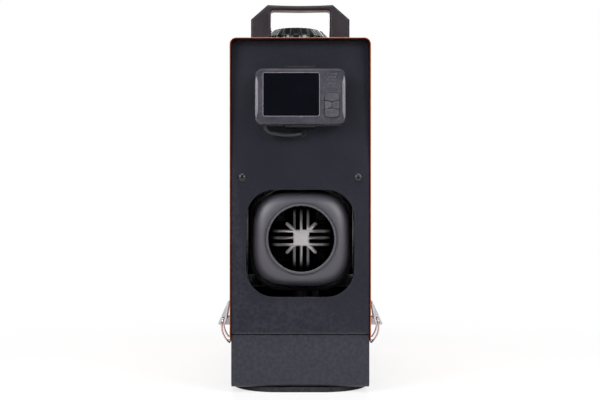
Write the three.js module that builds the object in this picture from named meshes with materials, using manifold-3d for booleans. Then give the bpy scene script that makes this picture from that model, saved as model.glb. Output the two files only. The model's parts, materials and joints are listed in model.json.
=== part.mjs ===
// A portable all-in-one diesel air heater: a folded steel case with the heater unit, fuel tank, pump and
// controller in it. Millimetres, +Z up, the outlet faces -Y and +X is to its right.
// Depths are measured back from the front rim of the case, and the last lines centre the whole machine.
import * as THREE from "three";
import { mergeVertices } from "three/addons/utils/BufferGeometryUtils.js";
import Module from "manifold-3d";

const wasm = await Module();
wasm.setup();

// ---------------------------------------------------------------- driving dimensions
const SHEET = 1.2; // thickness of the case's folded steel
const GAP = 0.3; // clearance between pieces that seat on each other
const ROUND = 20; // sides of a round part

const CASE_WIDTH = 150;
const CASE_DEPTH = 390;
const CASE_TOP = 377; // height of the shell's top above the floor
const CASE_CORNER_R = 7;
const SHELL_SKIRT_Z = 55; // lower edge of the shell's sides

const FOOT_THICKNESS = 5;
const FOOT_CORNER_R = 50;
const TRAY_RECESS = 3.5; // tray face behind the front rim
const TRAY_HEIGHT = 56.2; // front and rear walls of the tray
const TRAY_SIDE_HEIGHT = 64; // side walls, which tuck inside the shell
const TRAY_BEND_R = 6;

const PANEL_RECESS = 1.5; // panel face behind the rim
const PANEL_SEAM = 0.7; // between the tray and the panel above it
const PANEL_FLANGE = 12;
const PANEL_FOLD_Z = 239; // the front panel leans back above this fold
const PANEL_LEAN = 10; // setback that it gains from the fold to its top

const WINDOW_WIDTH = 114.6;
const WINDOW_HEIGHT = 113.8;
const WINDOW_CORNER_R = 29.7;
const WINDOW_Z = 158.5;

const INTAKE_SLOT_PITCH = 10.5;
const INTAKE_SLOT_HEIGHT = 5;
const INTAKE_SLOT_PAIRS = 4; // slots above and below the middle one

const PANEL_SCREW_FROM_SIDE = 13.3;
const PANEL_SCREW_Z = 228.4;
const SCREW_HEAD_R = 4.5;
const SCREW_HEAD_HEIGHT = 2.6;
const SCREW_R = 2.3;
const SCREW_LENGTH = 9;
const SCREW_SOCKET_R = 1.7;
const CROSSBAR_HEIGHT = 13;
const CROSSBAR_THICKNESS = 3;

const HEATER_X = 1;
const HEATER_Z = 163.2; // height of the heater unit's axis
const COLLAR_R = 37.6; // outside of the duct collar
const COLLAR_WALL = 2.4;
const COLLAR_DEPTH = 2; // collar mouth behind the rim
const COLLAR_LIP = 3;
const DOME_HALF_WIDTH = 53;
const DOME_HALF_HEIGHT = 51.5;
const DOME_LENGTH = 16;
const DOME_SKIRT = 23;
const DOME_SQUARENESS = 3.2;
const CASING_WIDTH = 112;
const CASING_HEIGHT = 116;
const CASING_CORNER_R = 34;
const CASING_WALL = 2.5;
const CASING_LENGTH = 283;

const FIN_FACE_DEPTH = 34; // flat front edges of the heat exchanger's fins
const FIN_FLAT_R = 25; // flat as far as this, then leaning back
const FIN_LEAN = 26;
const FIN_REACH = 50;
const FIN_PITCH = 7.5;
const FIN_THICKNESS = 2.9;
const FIN_PAIRS = 3; // fins on each side of the middle one
const FIN_STEP_BACK = 20; // the outer fins start further back
const DIAGONAL_FIN_R = 23.5;
const DIAGONAL_FIN_THICKNESS = 3.8;
const FIN_HUB = 14.2;
const BARREL_R = 34;
const BARREL_WALL = 3;
const BARREL_FRONT = 68;
const BARREL_BACK = 200;
const BURNER_R = 24;
const BURNER_LENGTH = 84;
const BURNER_HOLES = 6; // holes in each row of the flame tube
const BURNER_ROWS = 2;

const SHAFT_R = 2.5;
const BLOWER_HOUSING_R = 46;
const BLOWER_HOUSING_LENGTH = 26;
const BLOWER_WHEEL_R = 30;
const BLOWER_VANES = 8;
const MOTOR_R = 24;
const MOTOR_LENGTH = 56;
const FAN_R = 46;
const FAN_HUB_R = 19;
const FAN_LENGTH = 22;
const FAN_BLADES = 7;
const FAN_PITCH_DEG = 38;
const GUARD_RINGS = 2;

const TANK_SIDE_GAP = 5.8; // between the tank and the shell's sides
const TANK_REAR_GAP = 16; // from the tank to the rear rim of the case
const TANK_HEIGHT = 128;
const TANK_FRONT = 78;
const TANK_CORNER_R = 14;
const TANK_WALL = 3;
const TANK_EDGE = 6;
const TANK_HEADROOM = 9.8; // between the tank and the shell's top
const NECK_X = -5.5;
const NECK_DEPTH = 250;
const NECK_R = 27;
const NECK_BORE_R = 23;
const NECK_ABOVE_SHELL = 27;
const THREAD_PITCH = 6;
const THREAD_TURNS = 1.25;
const THREAD_WIDTH = 2.2;
const THREAD_HEIGHT = 1.8;
const GASKET_FLANGE_R = 36;
const GASKET_THICKNESS = 2;
const CAP_R = 43.5;
const CAP_HEIGHT = 41.7;
const CAP_CHAMFER_R = 11.5;
const CAP_CHAMFER_HEIGHT = 10.3;
const CAP_RIBS = 24;
const CAP_RIB_HEIGHT = 2.4;
const CAP_RIB_WIDTH = 5;
const CAP_BORE_R = 30;
const SEAL_THICKNESS = 3;

const HANDLE_DEPTH = 190;
const HANDLE_WIDTH = 121;
const HANDLE_HEIGHT = 67;
const HANDLE_THICKNESS = 22;
const HANDLE_OPENING = 72;
const HANDLE_BAR = 6.5;
const HANDLE_BAR_DIP = 1.2;
const HANDLE_SHOULDER_WIDTH = 20.5;
const HANDLE_SHOULDER_HEIGHT = 18;
const HANDLE_BEVEL = 2;
const HANDLE_BAR_CORNER = 3; // rounding in the opening's top corners
const HANDLE_BOLT_R = 3;
const HANDLE_BOLT_HEAD_R = 5.2;
const HANDLE_BOLT_HEAD = 4;
const HANDLE_BOLT_GRIP = 18;

const CONTROLLER_Z = 312;
const CONTROLLER_WIDTH = 95;
const CONTROLLER_HEIGHT = 59;
const CONTROLLER_BACK_THICKNESS = 6;
const CONTROLLER_FRONT_THICKNESS = 10.7;
const CONTROLLER_WALL = 2;
const CONTROLLER_CORNER_R = 8;
const CONTROLLER_EDGE = 2.2;
const SCREEN_WIDTH = 59;
const SCREEN_HEIGHT = 46;
const SCREEN_X = -9.5;
const SCREEN_Z = 1.8;
const SCREEN_THICKNESS = 1.6;
const BOARD_THICKNESS = 1.6;
const KEYPAD_WIDTH = 15.7;
const KEYPAD_HEIGHT = 26.2;
const KEYPAD_X = 33.2;
const KEYPAD_Z = -9.4;
const KEY_PROUD = 0.8;
const KEY_THICKNESS = 3.6;
const KEY_GROOVE = 0.6;
const KEY_VEE = 1.6;
const KEY_STEM_R = 1.8;
const KEY_TRAVEL = 0.6;
const SPEAKER_X = 33.3;
const SPEAKER_Z = 16.4;
const SPEAKER_ROWS = 5;
const SPEAKER_PITCH = 2.9;
const SPEAKER_HOLE_R = 0.6;
const BRACKET_WIDTH = 31.5;
const BRACKET_THICKNESS = 3.165;
const BRACKET_TAB = 2.6;
const BRACKET_TAB_SHORT = 3; // the tabs stop this far behind the controller's face
const LEAD_R = 2;
const LEAD_OFF_PANEL = 9;
const GROMMET_X = 2.5;
const GROMMET_Z = -36.6;
const GROMMET_R = 4;
const GROMMET_FLANGE = 1.2;

const LATCH_DEPTH = 55;
const LATCH_EAR_SPAN = 21; // inside distance between the bracket's ears
const LATCH_METAL = 1.2;
const LATCH_PLAY = 0.6;
const LATCH_PIN_X = 10.8; // the pivots are measured out from the shell's side
const LATCH_PIN_Z = 69.7;
const LATCH_PIN_R = 1.3;
const LATCH_EAR_R = 2.2;
const BAIL_PIVOT_X = 9.4;
const BAIL_PIVOT_Z = 75;
const BAIL_R = 1.1;
const BAIL_SPARE = 0.2; // air between the wire's legs and the lever's cheeks
const BAIL_BAR_X = 3;
const BAIL_BAR_Z = 48.4;
const LEVER_TIP_X = 4;
const LEVER_TIP_Z = 94;
const LEVER_FOOT_X = 15.5;
const LEVER_FOOT_Z = 68.6;
const CATCH_HEIGHT = 13;
const CATCH_REACH = 5;
const CATCH_CLEARANCE = 0.6; // between the bail's bar and the catch above it

const FRAME_DEPTH = 110;
const FRAME_LENGTH = 210;
const FRAME_METAL = 1.5;
const FRAME_FOOT = 15;
const SHELF_FLANGE = 12;

const EXHAUST_FROM_SIDE = 40; // from the case's left side to where the pipe comes out
const EXHAUST_R = 12;
const EXHAUST_WALL = 1.5;
const EXHAUST_PORT_AHEAD = 66; // of the intake port
const EXHAUST_PROUD = 20;
const PORT_Z = 36; // height of the pipes that leave through the tray's rear wall
const INTAKE_X = 2;
const INTAKE_R = 11;
const INTAKE_PORT_DEPTH = 216;
const FUEL_PORT_AHEAD = 32; // of the intake port
const PIPE_BEND_R = 30;
const PIPE_STEPS = 12;
const GLAND_FROM_SIDE = 33;
const GLAND_R = 9;
const GLAND_BORE_R = 4;

const PUMP_FROM_SIDE = 29; // from the case's side to the axis of the pump, the filter and the tank's spigot
const PUMP_Z = 34;
const PUMP_R = 14;
const PUMP_LENGTH = 62;
const PUMP_FRONT = 215;
const PLUNGER_R = 4;
const PLUNGER_TRAVEL = 2;
const FILTER_R = 10;
const FILTER_LENGTH = 34;
const HOSE_R = 3;
const NIPPLE_R = 2;
const NIPPLE_LENGTH = 14;
const HOSE_JOINT = 12;
const HOSE_BELOW_HEATER = 20;
const SPIGOT_LENGTH = 12;

// ---------------------------------------------------------------- colours and finishes
const finish = (color, roughness, metalness) => new THREE.MeshStandardMaterial({ color, roughness, metalness });
const orangePaint = finish(0xd2531a, 0.45, 0);
const blackPaint = finish(0x2b2b31, 0.55, 0);
const blackPlastic = finish(0x26262b, 0.45, 0);
const greyPlastic = finish(0x3a3a42, 0.4, 0);
const keyPlastic = finish(0x6a6a70, 0.5, 0);
const screenGlass = finish(0x0a0a0e, 0.1, 0);
const circuitBoard = finish(0x1f5a35, 0.6, 0);
const castAluminium = finish(0xb8bcc2, 0.5, 0.9);
const brightSteel = finish(0xc9ccd0, 0.25, 1);
const zincSteel = finish(0x9fa3a8, 0.4, 1);
const blackSteel = finish(0x1c1c20, 0.35, 0.8);
const stainless = finish(0xa9a59c, 0.35, 1);
const rubber = finish(0x161618, 0.85, 0);
const tankPlastic = finish(0x202024, 0.6, 0);
const brassMetal = finish(0xb8923c, 0.35, 1);

// ---------------------------------------------------------------- solids
// A closed geometry as a solid. A profile may run either way round: the faces are turned outwards here.
function solidOf(geometry) {
  const bare = (geometry.index ? geometry.toNonIndexed() : geometry.clone());
  for (const name of Object.keys(bare.attributes)) if (name !== "position") bare.deleteAttribute(name);
  const merged = mergeVertices(bare, 1e-4);
  const corners = [];
  const index = merged.index.array;
  for (let i = 0; i < index.length; i += 3) {
    const [a, b, c] = [index[i], index[i + 1], index[i + 2]];
    if (a !== b && b !== c && c !== a) corners.push(a, b, c);
  }
  const build = (triVerts) =>
    new wasm.Manifold(
      new wasm.Mesh({ numProp: 3, vertProperties: merged.attributes.position.array, triVerts }),
    );
  const made = build(new Uint32Array(corners));
  if (made.volume() >= 0) return made;
  for (let i = 0; i < corners.length; i += 3) [corners[i], corners[i + 1]] = [corners[i + 1], corners[i]];
  return build(new Uint32Array(corners));
}

function geometryOf(solid) {
  const mesh = solid.getMesh();
  const geometry = new THREE.BufferGeometry();
  geometry.setAttribute("position", new THREE.BufferAttribute(new Float32Array(mesh.vertProperties), 3));
  geometry.setIndex(new THREE.BufferAttribute(new Uint32Array(mesh.triVerts), 1));
  geometry.computeVertexNormals();
  return geometry;
}

const join = (...parts) => geometryOf(parts.map(solidOf).reduce((a, b) => a.add(b)));
const cut = (base, ...tools) => geometryOf(tools.map(solidOf).reduce((a, b) => a.subtract(b), solidOf(base)));
const common = (a, b) => geometryOf(solidOf(a).intersect(solidOf(b)));

// ---------------------------------------------------------------- shapes and sweeps
const block = (x0, x1, y0, y1, z0, z1) =>
  new THREE.BoxGeometry(x1 - x0, y1 - y0, z1 - z0).translate((x0 + x1) / 2, (y0 + y1) / 2, (z0 + z1) / 2);

function roundedRect(cx, cy, width, height, r) {
  const [x0, x1, y0, y1] = [cx - width / 2, cx + width / 2, cy - height / 2, cy + height / 2];
  const shape = new THREE.Shape();
  shape.moveTo(x0 + r, y0);
  shape.lineTo(x1 - r, y0).absarc(x1 - r, y0 + r, r, -Math.PI / 2, 0, false);
  shape.lineTo(x1, y1 - r).absarc(x1 - r, y1 - r, r, 0, Math.PI / 2, false);
  shape.lineTo(x0 + r, y1).absarc(x0 + r, y1 - r, r, Math.PI / 2, Math.PI, false);
  shape.lineTo(x0, y0 + r).absarc(x0 + r, y0 + r, r, Math.PI, Math.PI * 1.5, false);
  return shape;
}

const polygon = (points) => new THREE.Shape(points.map(([a, b]) => new THREE.Vector2(a, b)));

// An outline drawn in (x, z), as seen from the front, and carried back from y0 to y1.
function frontPlate(shape, y0, y1, bevel = 0, curveSegments = 3) {
  return new THREE.ExtrudeGeometry(shape, {
    depth: y1 - y0 - 2 * bevel,
    bevelEnabled: bevel > 0,
    bevelThickness: bevel,
    bevelSize: bevel,
    bevelOffset: -bevel,
    bevelSegments: 1,
    curveSegments,
  })
    .rotateX(Math.PI / 2)
    .translate(0, y1 - bevel, 0);
}

// An outline drawn in (y, z), as seen from the side, and carried across from x0 to x1.
function sidePlate(shape, x0, x1) {
  const axes = new THREE.Matrix4().makeBasis(
    new THREE.Vector3(0, 1, 0),
    new THREE.Vector3(0, 0, 1),
    new THREE.Vector3(1, 0, 0),
  );
  return new THREE.ExtrudeGeometry(shape, { depth: x1 - x0, bevelEnabled: false, curveSegments: 3 })
    .applyMatrix4(axes)
    .translate(x0, 0, 0);
}

// An outline drawn in (x, y), as seen from above, and carried up from z0 to z1.
const floorPlate = (shape, z0, z1, curveSegments = 6) =>
  new THREE.ExtrudeGeometry(shape, { depth: z1 - z0, bevelEnabled: false, curveSegments }).translate(0, 0, z0);

// A profile of [radius, position] turned about the Y axis, or about the Z axis.
const turnedY = (profile, sides = ROUND) =>
  new THREE.LatheGeometry(
    profile.map(([r, a]) => new THREE.Vector2(r, a)),
    sides,
  );
const turnedZ = (profile, sides = ROUND) => turnedY(profile, sides).rotateX(Math.PI / 2);
const rodY = (r, y0, y1, sides = ROUND) => turnedY([[0, y0], [r, y0], [r, y1], [0, y1]], sides);
const rodZ = (r, z0, z1, sides = ROUND) => turnedZ([[0, z0], [r, z0], [r, z1], [0, z1]], sides);
const tubeY = (r, bore, y0, y1, sides = ROUND) =>
  turnedY([[bore, y0], [r, y0], [r, y1], [bore, y1], [bore, y0]], sides);
const tubeZ = (r, bore, z0, z1, sides = ROUND) =>
  turnedZ([[bore, z0], [r, z0], [r, z1], [bore, z1], [bore, z0]], sides);

// A round section carried along a curve.
function swept(curve, r, steps, sides = 8) {
  const section = new THREE.Shape();
  for (let i = 0; i < sides; i++) {
    const a = (2 * Math.PI * i) / sides;
    section[i ? "lineTo" : "moveTo"](r * Math.cos(a), r * Math.sin(a));
  }
  return new THREE.ExtrudeGeometry(section, { steps, extrudePath: curve, bevelEnabled: false });
}
const smooth = (points) =>
  new THREE.CatmullRomCurve3(
    points.map((p) => new THREE.Vector3(...p)),
    false,
    "centripetal",
  );

// Straight runs joined by round bends of one radius.
function bentPath(points, bendR) {
  const path = new THREE.CurvePath();
  const at = points.map((p) => new THREE.Vector3(...p));
  let from = at[0];
  for (let i = 1; i < at.length - 1; i++) {
    const back = at[i - 1].clone().sub(at[i]).normalize();
    const on = at[i + 1].clone().sub(at[i]).normalize();
    const half = back.angleTo(on) / 2;
    const run = bendR / Math.tan(half);
    const start = at[i].clone().addScaledVector(back, run);
    const end = at[i].clone().addScaledVector(on, run);
    // A cubic whose handles follow the circle of the bend.
    const handle = (4 / 3) * Math.tan((Math.PI - 2 * half) / 4) * bendR;
    path.add(new THREE.LineCurve3(from, start));
    path.add(
      new THREE.CubicBezierCurve3(
        start,
        start.clone().addScaledVector(back, -handle),
        end.clone().addScaledVector(on, -handle),
        end,
      ),
    );
    from = end;
  }
  path.add(new THREE.LineCurve3(from, at[at.length - 1]));
  return path;
}

// Rings of points joined into a tube wall, the last ring to the first.
function wallOfRings(rings) {
  const count = rings[0].length;
  const positions = rings.flat(2);
  const index = [];
  rings.forEach((_, k) => {
    const next = (k + 1) % rings.length;
    for (let i = 0; i < count; i++) {
      const j = (i + 1) % count;
      const [a, b, c, d] = [k * count + i, k * count + j, next * count + j, next * count + i];
      index.push(a, b, c, a, c, d);
    }
  });
  const geometry = new THREE.BufferGeometry();
  geometry.setAttribute("position", new THREE.Float32BufferAttribute(positions, 3));
  geometry.setIndex(index);
  return geometry;
}

// A screw thread's ridge about the Z axis, between the radii root and crest.
function threadRidge(root, crest, z0) {
  const steps = Math.round(THREAD_TURNS * ROUND);
  const positions = [];
  const index = [];
  for (let i = 0; i <= steps; i++) {
    const a = (2 * Math.PI * i) / ROUND;
    const z = z0 + (THREAD_PITCH * i) / ROUND;
    const taper = THREAD_WIDTH / 4;
    for (const [r, dz] of [
      [root, -THREAD_WIDTH / 2],
      [crest, -THREAD_WIDTH / 2 + taper],
      [crest, THREAD_WIDTH / 2 - taper],
      [root, THREAD_WIDTH / 2],
    ])
      positions.push(r * Math.cos(a), r * Math.sin(a), z + dz);
  }
  for (let i = 0; i < steps; i++)
    for (let k = 0; k < 4; k++) {
      const [a, b] = [i * 4 + k, i * 4 + ((k + 1) % 4)];
      index.push(a, b, b + 4, a, b + 4, a + 4);
    }
  const last = steps * 4;
  index.push(0, 2, 1, 0, 3, 2, last, last + 1, last + 2, last, last + 2, last + 3);
  const geometry = new THREE.BufferGeometry();
  geometry.setAttribute("position", new THREE.Float32BufferAttribute(positions, 3));
  geometry.setIndex(index);
  return geometry;
}

// ---------------------------------------------------------------- places worked out from the sizes
const innerHalf = CASE_WIDTH / 2 - SHEET; // inside of the shell's sides
const panelScrewX = CASE_WIDTH / 2 - PANEL_SCREW_FROM_SIDE;
const glandX = CASE_WIDTH / 2 - GLAND_FROM_SIDE;
const exhaustX = EXHAUST_FROM_SIDE - CASE_WIDTH / 2;
const exhaustPortDepth = INTAKE_PORT_DEPTH - EXHAUST_PORT_AHEAD;
const fuelPortDepth = INTAKE_PORT_DEPTH - FUEL_PORT_AHEAD;
const insideTop = CASE_TOP - SHEET;
const panelHalf = innerHalf - GAP;
const trayBottom = FOOT_THICKNESS + GAP;
const trayTop = trayBottom + TRAY_HEIGHT;
const trayFront = TRAY_RECESS;
const trayBack = CASE_DEPTH - TRAY_RECESS;
const trayFloor = trayBottom + SHEET;
const panelBottom = trayTop + PANEL_SEAM;
const panelTop = insideTop - GAP;
const panelFace = PANEL_RECESS;
const lean = Math.atan(PANEL_LEAN / (panelTop - PANEL_FOLD_Z));
const panelFaceAt = (z) => panelFace + Math.max(0, z - PANEL_FOLD_Z) * Math.tan(lean);
const rearPanelBack = CASE_DEPTH - PANEL_RECESS;

const heater = new THREE.Group();

function piece(name, geometry, material, parent = heater) {
  const mesh = new THREE.Mesh(geometry, material);
  mesh.name = name;
  parent.add(mesh);
  return mesh;
}

// ---------------------------------------------------------------- case
// The outline of the shell seen from the front, inset by a wall and let down below its skirt.
function shellOutline(inset, bottom) {
  const half = CASE_WIDTH / 2 - inset;
  const top = CASE_TOP - inset;
  const r = CASE_CORNER_R - inset;
  const shape = new THREE.Shape();
  shape.moveTo(-half, bottom);
  shape.lineTo(half, bottom);
  shape.lineTo(half, top - r).absarc(half - r, top - r, r, 0, Math.PI / 2, false);
  shape.lineTo(-half + r, top).absarc(-half + r, top - r, r, Math.PI / 2, Math.PI, false);
  return shape;
}

function shell() {
  const below = SHELL_SKIRT_Z - 10;
  const handleHoles = [-1, 1].map((side) =>
    rodZ(HANDLE_BOLT_R + GAP, insideTop - 5, CASE_TOP + 5, 16).translate(side * handleLegX, HANDLE_DEPTH, 0),
  );
  return cut(
    frontPlate(shellOutline(0, SHELL_SKIRT_Z), 0, CASE_DEPTH),
    frontPlate(shellOutline(SHEET, below), -1, CASE_DEPTH + 1),
    rodZ(gasketR + GAP, insideTop - 5, CASE_TOP + 5).translate(NECK_X, NECK_DEPTH, 0),
    ...handleHoles,
  );
}

// The front panel's sheet: upright below the fold and leaning back above it, with flanges turned in all round.
function frontPanel() {
  const profile = (depth) =>
    polygon([
      [panelFace, panelBottom],
      [panelFace + depth, panelBottom],
      [panelFace + depth, PANEL_FOLD_Z],
      [panelFaceAt(panelTop) + depth, panelTop],
      [panelFaceAt(panelTop), panelTop],
      [panelFace, PANEL_FOLD_Z],
    ]);
  const flangeBack = panelFaceAt(panelTop) + PANEL_FLANGE;
  const bent = join(
    sidePlate(profile(SHEET), -panelHalf, panelHalf),
    sidePlate(profile(PANEL_FLANGE), -panelHalf, -panelHalf + SHEET),
    sidePlate(profile(PANEL_FLANGE), panelHalf - SHEET, panelHalf),
    block(-panelHalf, panelHalf, panelFace, panelFace + PANEL_FLANGE, panelBottom, panelBottom + SHEET),
    block(-panelHalf, panelHalf, panelFaceAt(panelTop - SHEET) + SHEET / 2, flangeBack, panelTop - SHEET, panelTop),
  );
  const screwHoles = [-1, 1].map((side) =>
    rodY(SCREW_R + GAP, -5, 10, 16).translate(side * panelScrewX, 0, PANEL_SCREW_Z),
  );
  const leadHole = rodY(GROMMET_R - GROMMET_FLANGE + GAP, -5, 5, 16).translate(GROMMET_X, 0, GROMMET_Z);
  return cut(
    common(bent, frontPlate(shellOutline(SHEET + GAP, panelBottom - 5), -5, flangeBack + 5)),
    frontPlate(roundedRect(0, WINDOW_Z, WINDOW_WIDTH, WINDOW_HEIGHT, WINDOW_CORNER_R), -5, 10, 0, 6),
    leadHole.applyMatrix4(onLeaningPanel()),
    ...screwHoles,
  );
}

// The rear panel, with the slots that the fan draws its air through.
function rearPanel() {
  const front = rearPanelBack - PANEL_FLANGE;
  const pan = cut(
    frontPlate(shellOutline(SHEET + GAP, panelBottom), front, rearPanelBack),
    frontPlate(shellOutline(2 * SHEET + GAP, panelBottom + SHEET), front - 1, rearPanelBack - SHEET),
  );
  const slots = [];
  for (let i = -INTAKE_SLOT_PAIRS; i <= INTAKE_SLOT_PAIRS; i++) {
    const z = HEATER_Z + i * INTAKE_SLOT_PITCH;
    const half = Math.sqrt(FAN_R ** 2 - (i * INTAKE_SLOT_PITCH) ** 2);
    const slot = roundedRect(HEATER_X, z, 2 * half, INTAKE_SLOT_HEIGHT, INTAKE_SLOT_HEIGHT * 0.48);
    slots.push(frontPlate(slot, rearPanelBack - 5, rearPanelBack + 5, 0, 2));
  }
  return cut(pan, ...slots);
}

// The tray that everything stands in: a folded pan with its long edges bent round at the front and back.
function baseTray() {
  const pan = (inset, top) => {
    const r = TRAY_BEND_R - inset;
    const [y0, y1, z0] = [trayFront + inset, trayBack - inset, trayBottom + inset];
    const side = new THREE.Shape();
    side.moveTo(y0 + r, z0);
    side.lineTo(y1 - r, z0).absarc(y1 - r, z0 + r, r, -Math.PI / 2, 0, false);
    side.lineTo(y1, top);
    side.lineTo(y0, top);
    side.lineTo(y0, z0 + r).absarc(y0 + r, z0 + r, r, Math.PI, Math.PI * 1.5, false);
    return sidePlate(side, -panelHalf + inset, panelHalf - inset);
  };
  const sideTop = trayBottom + TRAY_SIDE_HEIGHT;
  const endClear = PANEL_FLANGE + PANEL_RECESS + 1;
  return cut(
    pan(0, sideTop),
    pan(SHEET, sideTop + 5),
    block(-CASE_WIDTH, CASE_WIDTH, trayFront - 1, endClear, trayTop, sideTop + 5),
    block(-CASE_WIDTH, CASE_WIDTH, CASE_DEPTH - endClear, trayBack + 1, trayTop, sideTop + 5),
    rodY(EXHAUST_R + 2, trayBack - 10, trayBack + 5).translate(exhaustX, 0, PORT_Z),
    rodY(INTAKE_R + GAP, trayBack - 10, trayBack + 5).translate(INTAKE_X, 0, PORT_Z),
    rodY(GLAND_R * 0.7 + GAP, trayBack - 10, trayBack + 5).translate(glandX, 0, PORT_Z),
  );
}

const footPlate = () =>
  floorPlate(
    roundedRect(0, CASE_DEPTH / 2, 2 * panelHalf, trayBack - trayFront, FOOT_CORNER_R),
    0,
    FOOT_THICKNESS,
  );

// A button-head screw with a hexagon socket, lying along Y with its head to the front.
function buttonScrew() {
  const headBack = -GAP;
  const headFace = headBack - SCREW_HEAD_HEIGHT;
  const screw = turnedY(
    [
      [0, headFace],
      [SCREW_HEAD_R * 0.45, headFace],
      [SCREW_HEAD_R * 0.82, headFace + SCREW_HEAD_HEIGHT * 0.3],
      [SCREW_HEAD_R, headBack - SCREW_HEAD_HEIGHT * 0.15],
      [SCREW_HEAD_R, headBack],
      [SCREW_R, headBack],
      [SCREW_R, headBack + SCREW_LENGTH],
      [0, headBack + SCREW_LENGTH],
    ],
    16,
  );
  return cut(screw, rodY(SCREW_SOCKET_R, headFace - 1, headFace + SCREW_HEAD_HEIGHT * 0.6, 6));
}

// The bar behind the front panel that its two screws pull against, held by turned ends inside the panel's flanges.
function crossbar() {
  const face = panelFace + SHEET + GAP;
  const half = panelHalf - SHEET - GAP;
  const [z0, z1] = [PANEL_SCREW_Z - CROSSBAR_HEIGHT / 2, PANEL_SCREW_Z + CROSSBAR_HEIGHT / 2];
  const holes = [-1, 1].map((side) =>
    rodY(SCREW_R + GAP, 0, 20, 16).translate(side * panelScrewX, 0, PANEL_SCREW_Z),
  );
  return cut(
    join(
      block(-half, half, face, face + CROSSBAR_THICKNESS, z0, z1),
      block(-half, -half + SHEET, face, face + PANEL_FLANGE, z0, z1),
      block(half - SHEET, half, face, face + PANEL_FLANGE, z0, z1),
    ),
    ...holes,
  );
}

// ---------------------------------------------------------------- handle
const handleLegX = (HANDLE_WIDTH + HANDLE_OPENING) / 4;

function handle() {
  const half = HANDLE_WIDTH / 2;
  const open = HANDLE_OPENING / 2;
  const [foot, top] = [CASE_TOP + GAP, CASE_TOP + HANDLE_HEIGHT];
  const shoulder = half - HANDLE_SHOULDER_WIDTH;
  const under = top - HANDLE_BAR;
  const corner = (side) =>
    [0, 30, 60, 90].map((degrees) => {
      const a = (degrees * Math.PI) / 180;
      return [
        side * (open - HANDLE_BAR_CORNER * (1 - Math.cos(a))),
        under - HANDLE_BAR_CORNER * (1 - Math.sin(a)),
      ];
    });
  const dip = [-0.75, -0.5, -0.25, 0, 0.25, 0.5, 0.75].map((t) => [
    -t * shoulder,
    top - HANDLE_BAR_DIP * (1 - t * t),
  ]);
  const shape = polygon([
    [-half, foot],
    [-open, foot],
    ...corner(-1),
    [0, under - HANDLE_BAR_DIP / 2],
    ...corner(1).reverse(),
    [open, foot],
    [half, foot],
    [half, top - HANDLE_SHOULDER_HEIGHT],
    [shoulder, top],
    ...dip,
    [-shoulder, top],
    [-half, top - HANDLE_SHOULDER_HEIGHT],
  ]);
  const body = frontPlate(
    shape,
    HANDLE_DEPTH - HANDLE_THICKNESS / 2,
    HANDLE_DEPTH + HANDLE_THICKNESS / 2,
    HANDLE_BEVEL,
  );
  const bores = [-1, 1].map((side) =>
    rodZ(HANDLE_BOLT_R + GAP, foot - 5, foot + HANDLE_BOLT_GRIP + 1, 16).translate(
      side * handleLegX,
      HANDLE_DEPTH,
      0,
    ),
  );
  return cut(body, ...bores);
}

function handleBolt() {
  const headTop = insideTop - GAP;
  return turnedZ(
    [
      [0, headTop - HANDLE_BOLT_HEAD],
      [HANDLE_BOLT_HEAD_R, headTop - HANDLE_BOLT_HEAD],
      [HANDLE_BOLT_HEAD_R, headTop],
      [HANDLE_BOLT_R, headTop],
      [HANDLE_BOLT_R, CASE_TOP + HANDLE_BOLT_GRIP],
      [0, CASE_TOP + HANDLE_BOLT_GRIP],
    ],
    16,
  );
}

// ---------------------------------------------------------------- fuel tank and cap
const gasketR = NECK_R + THREAD_HEIGHT + GAP + 2;
const tankWidth = CASE_WIDTH - 2 * (SHEET + TANK_SIDE_GAP);
const tankLength = CASE_DEPTH - TANK_FRONT - TANK_REAR_GAP;
const tankTop = insideTop - TANK_HEADROOM;
const tankBottom = tankTop - TANK_HEIGHT;
const neckTop = CASE_TOP + NECK_ABOVE_SHELL;
const threadStart = neckTop - THREAD_PITCH * THREAD_TURNS - THREAD_WIDTH / 2 - 1;
const capBottom = CASE_TOP + GASKET_THICKNESS + 2 * GAP + 1;
const capTop = capBottom + CAP_HEIGHT;
const capCeiling = neckTop + SEAL_THICKNESS + 2 * GAP;

function tankHull(inset) {
  const length = tankLength - 2 * inset;
  return frontPlate(
    roundedRect(
      0,
      (tankBottom + tankTop) / 2,
      tankWidth - 2 * inset,
      TANK_HEIGHT - 2 * inset,
      TANK_CORNER_R - inset,
    ),
    TANK_FRONT + inset,
    TANK_FRONT + inset + length,
    TANK_EDGE,
  );
}

// A hollow blow-moulded tank with a threaded filler neck, and a spigot underneath for the fuel line.
function fuelTank() {
  const neck = (r, z0, z1) => rodZ(r, z0, z1).translate(NECK_X, NECK_DEPTH, 0);
  const ridge = threadRidge(NECK_R - 0.4, NECK_R + THREAD_HEIGHT, threadStart).translate(NECK_X, NECK_DEPTH, 0);
  return cut(
    join(
      tankHull(0),
      neck(NECK_R, tankTop - 2, neckTop),
      ridge,
      rodY(NIPPLE_R, TANK_FRONT - SPIGOT_LENGTH, TANK_FRONT + 1, 12).translate(spigotX, 0, spigotZ),
    ),
    tankHull(TANK_WALL),
    neck(NECK_BORE_R, tankTop - TANK_WALL - 1, neckTop + 1),
  );
}

// The rubber ring that closes the gap between the shell's hole and the neck.
const neckGasket = () =>
  turnedZ([
    [NECK_R + THREAD_HEIGHT + GAP, insideTop - 2],
    [gasketR, insideTop - 2],
    [gasketR, CASE_TOP + GAP],
    [GASKET_FLANGE_R, CASE_TOP + GAP],
    [GASKET_FLANGE_R, CASE_TOP + GAP + GASKET_THICKNESS],
    [NECK_R + THREAD_HEIGHT + GAP, CASE_TOP + GAP + GASKET_THICKNESS],
    [NECK_R + THREAD_HEIGHT + GAP, insideTop - 2],
  ]).translate(NECK_X, NECK_DEPTH, 0);

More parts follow.
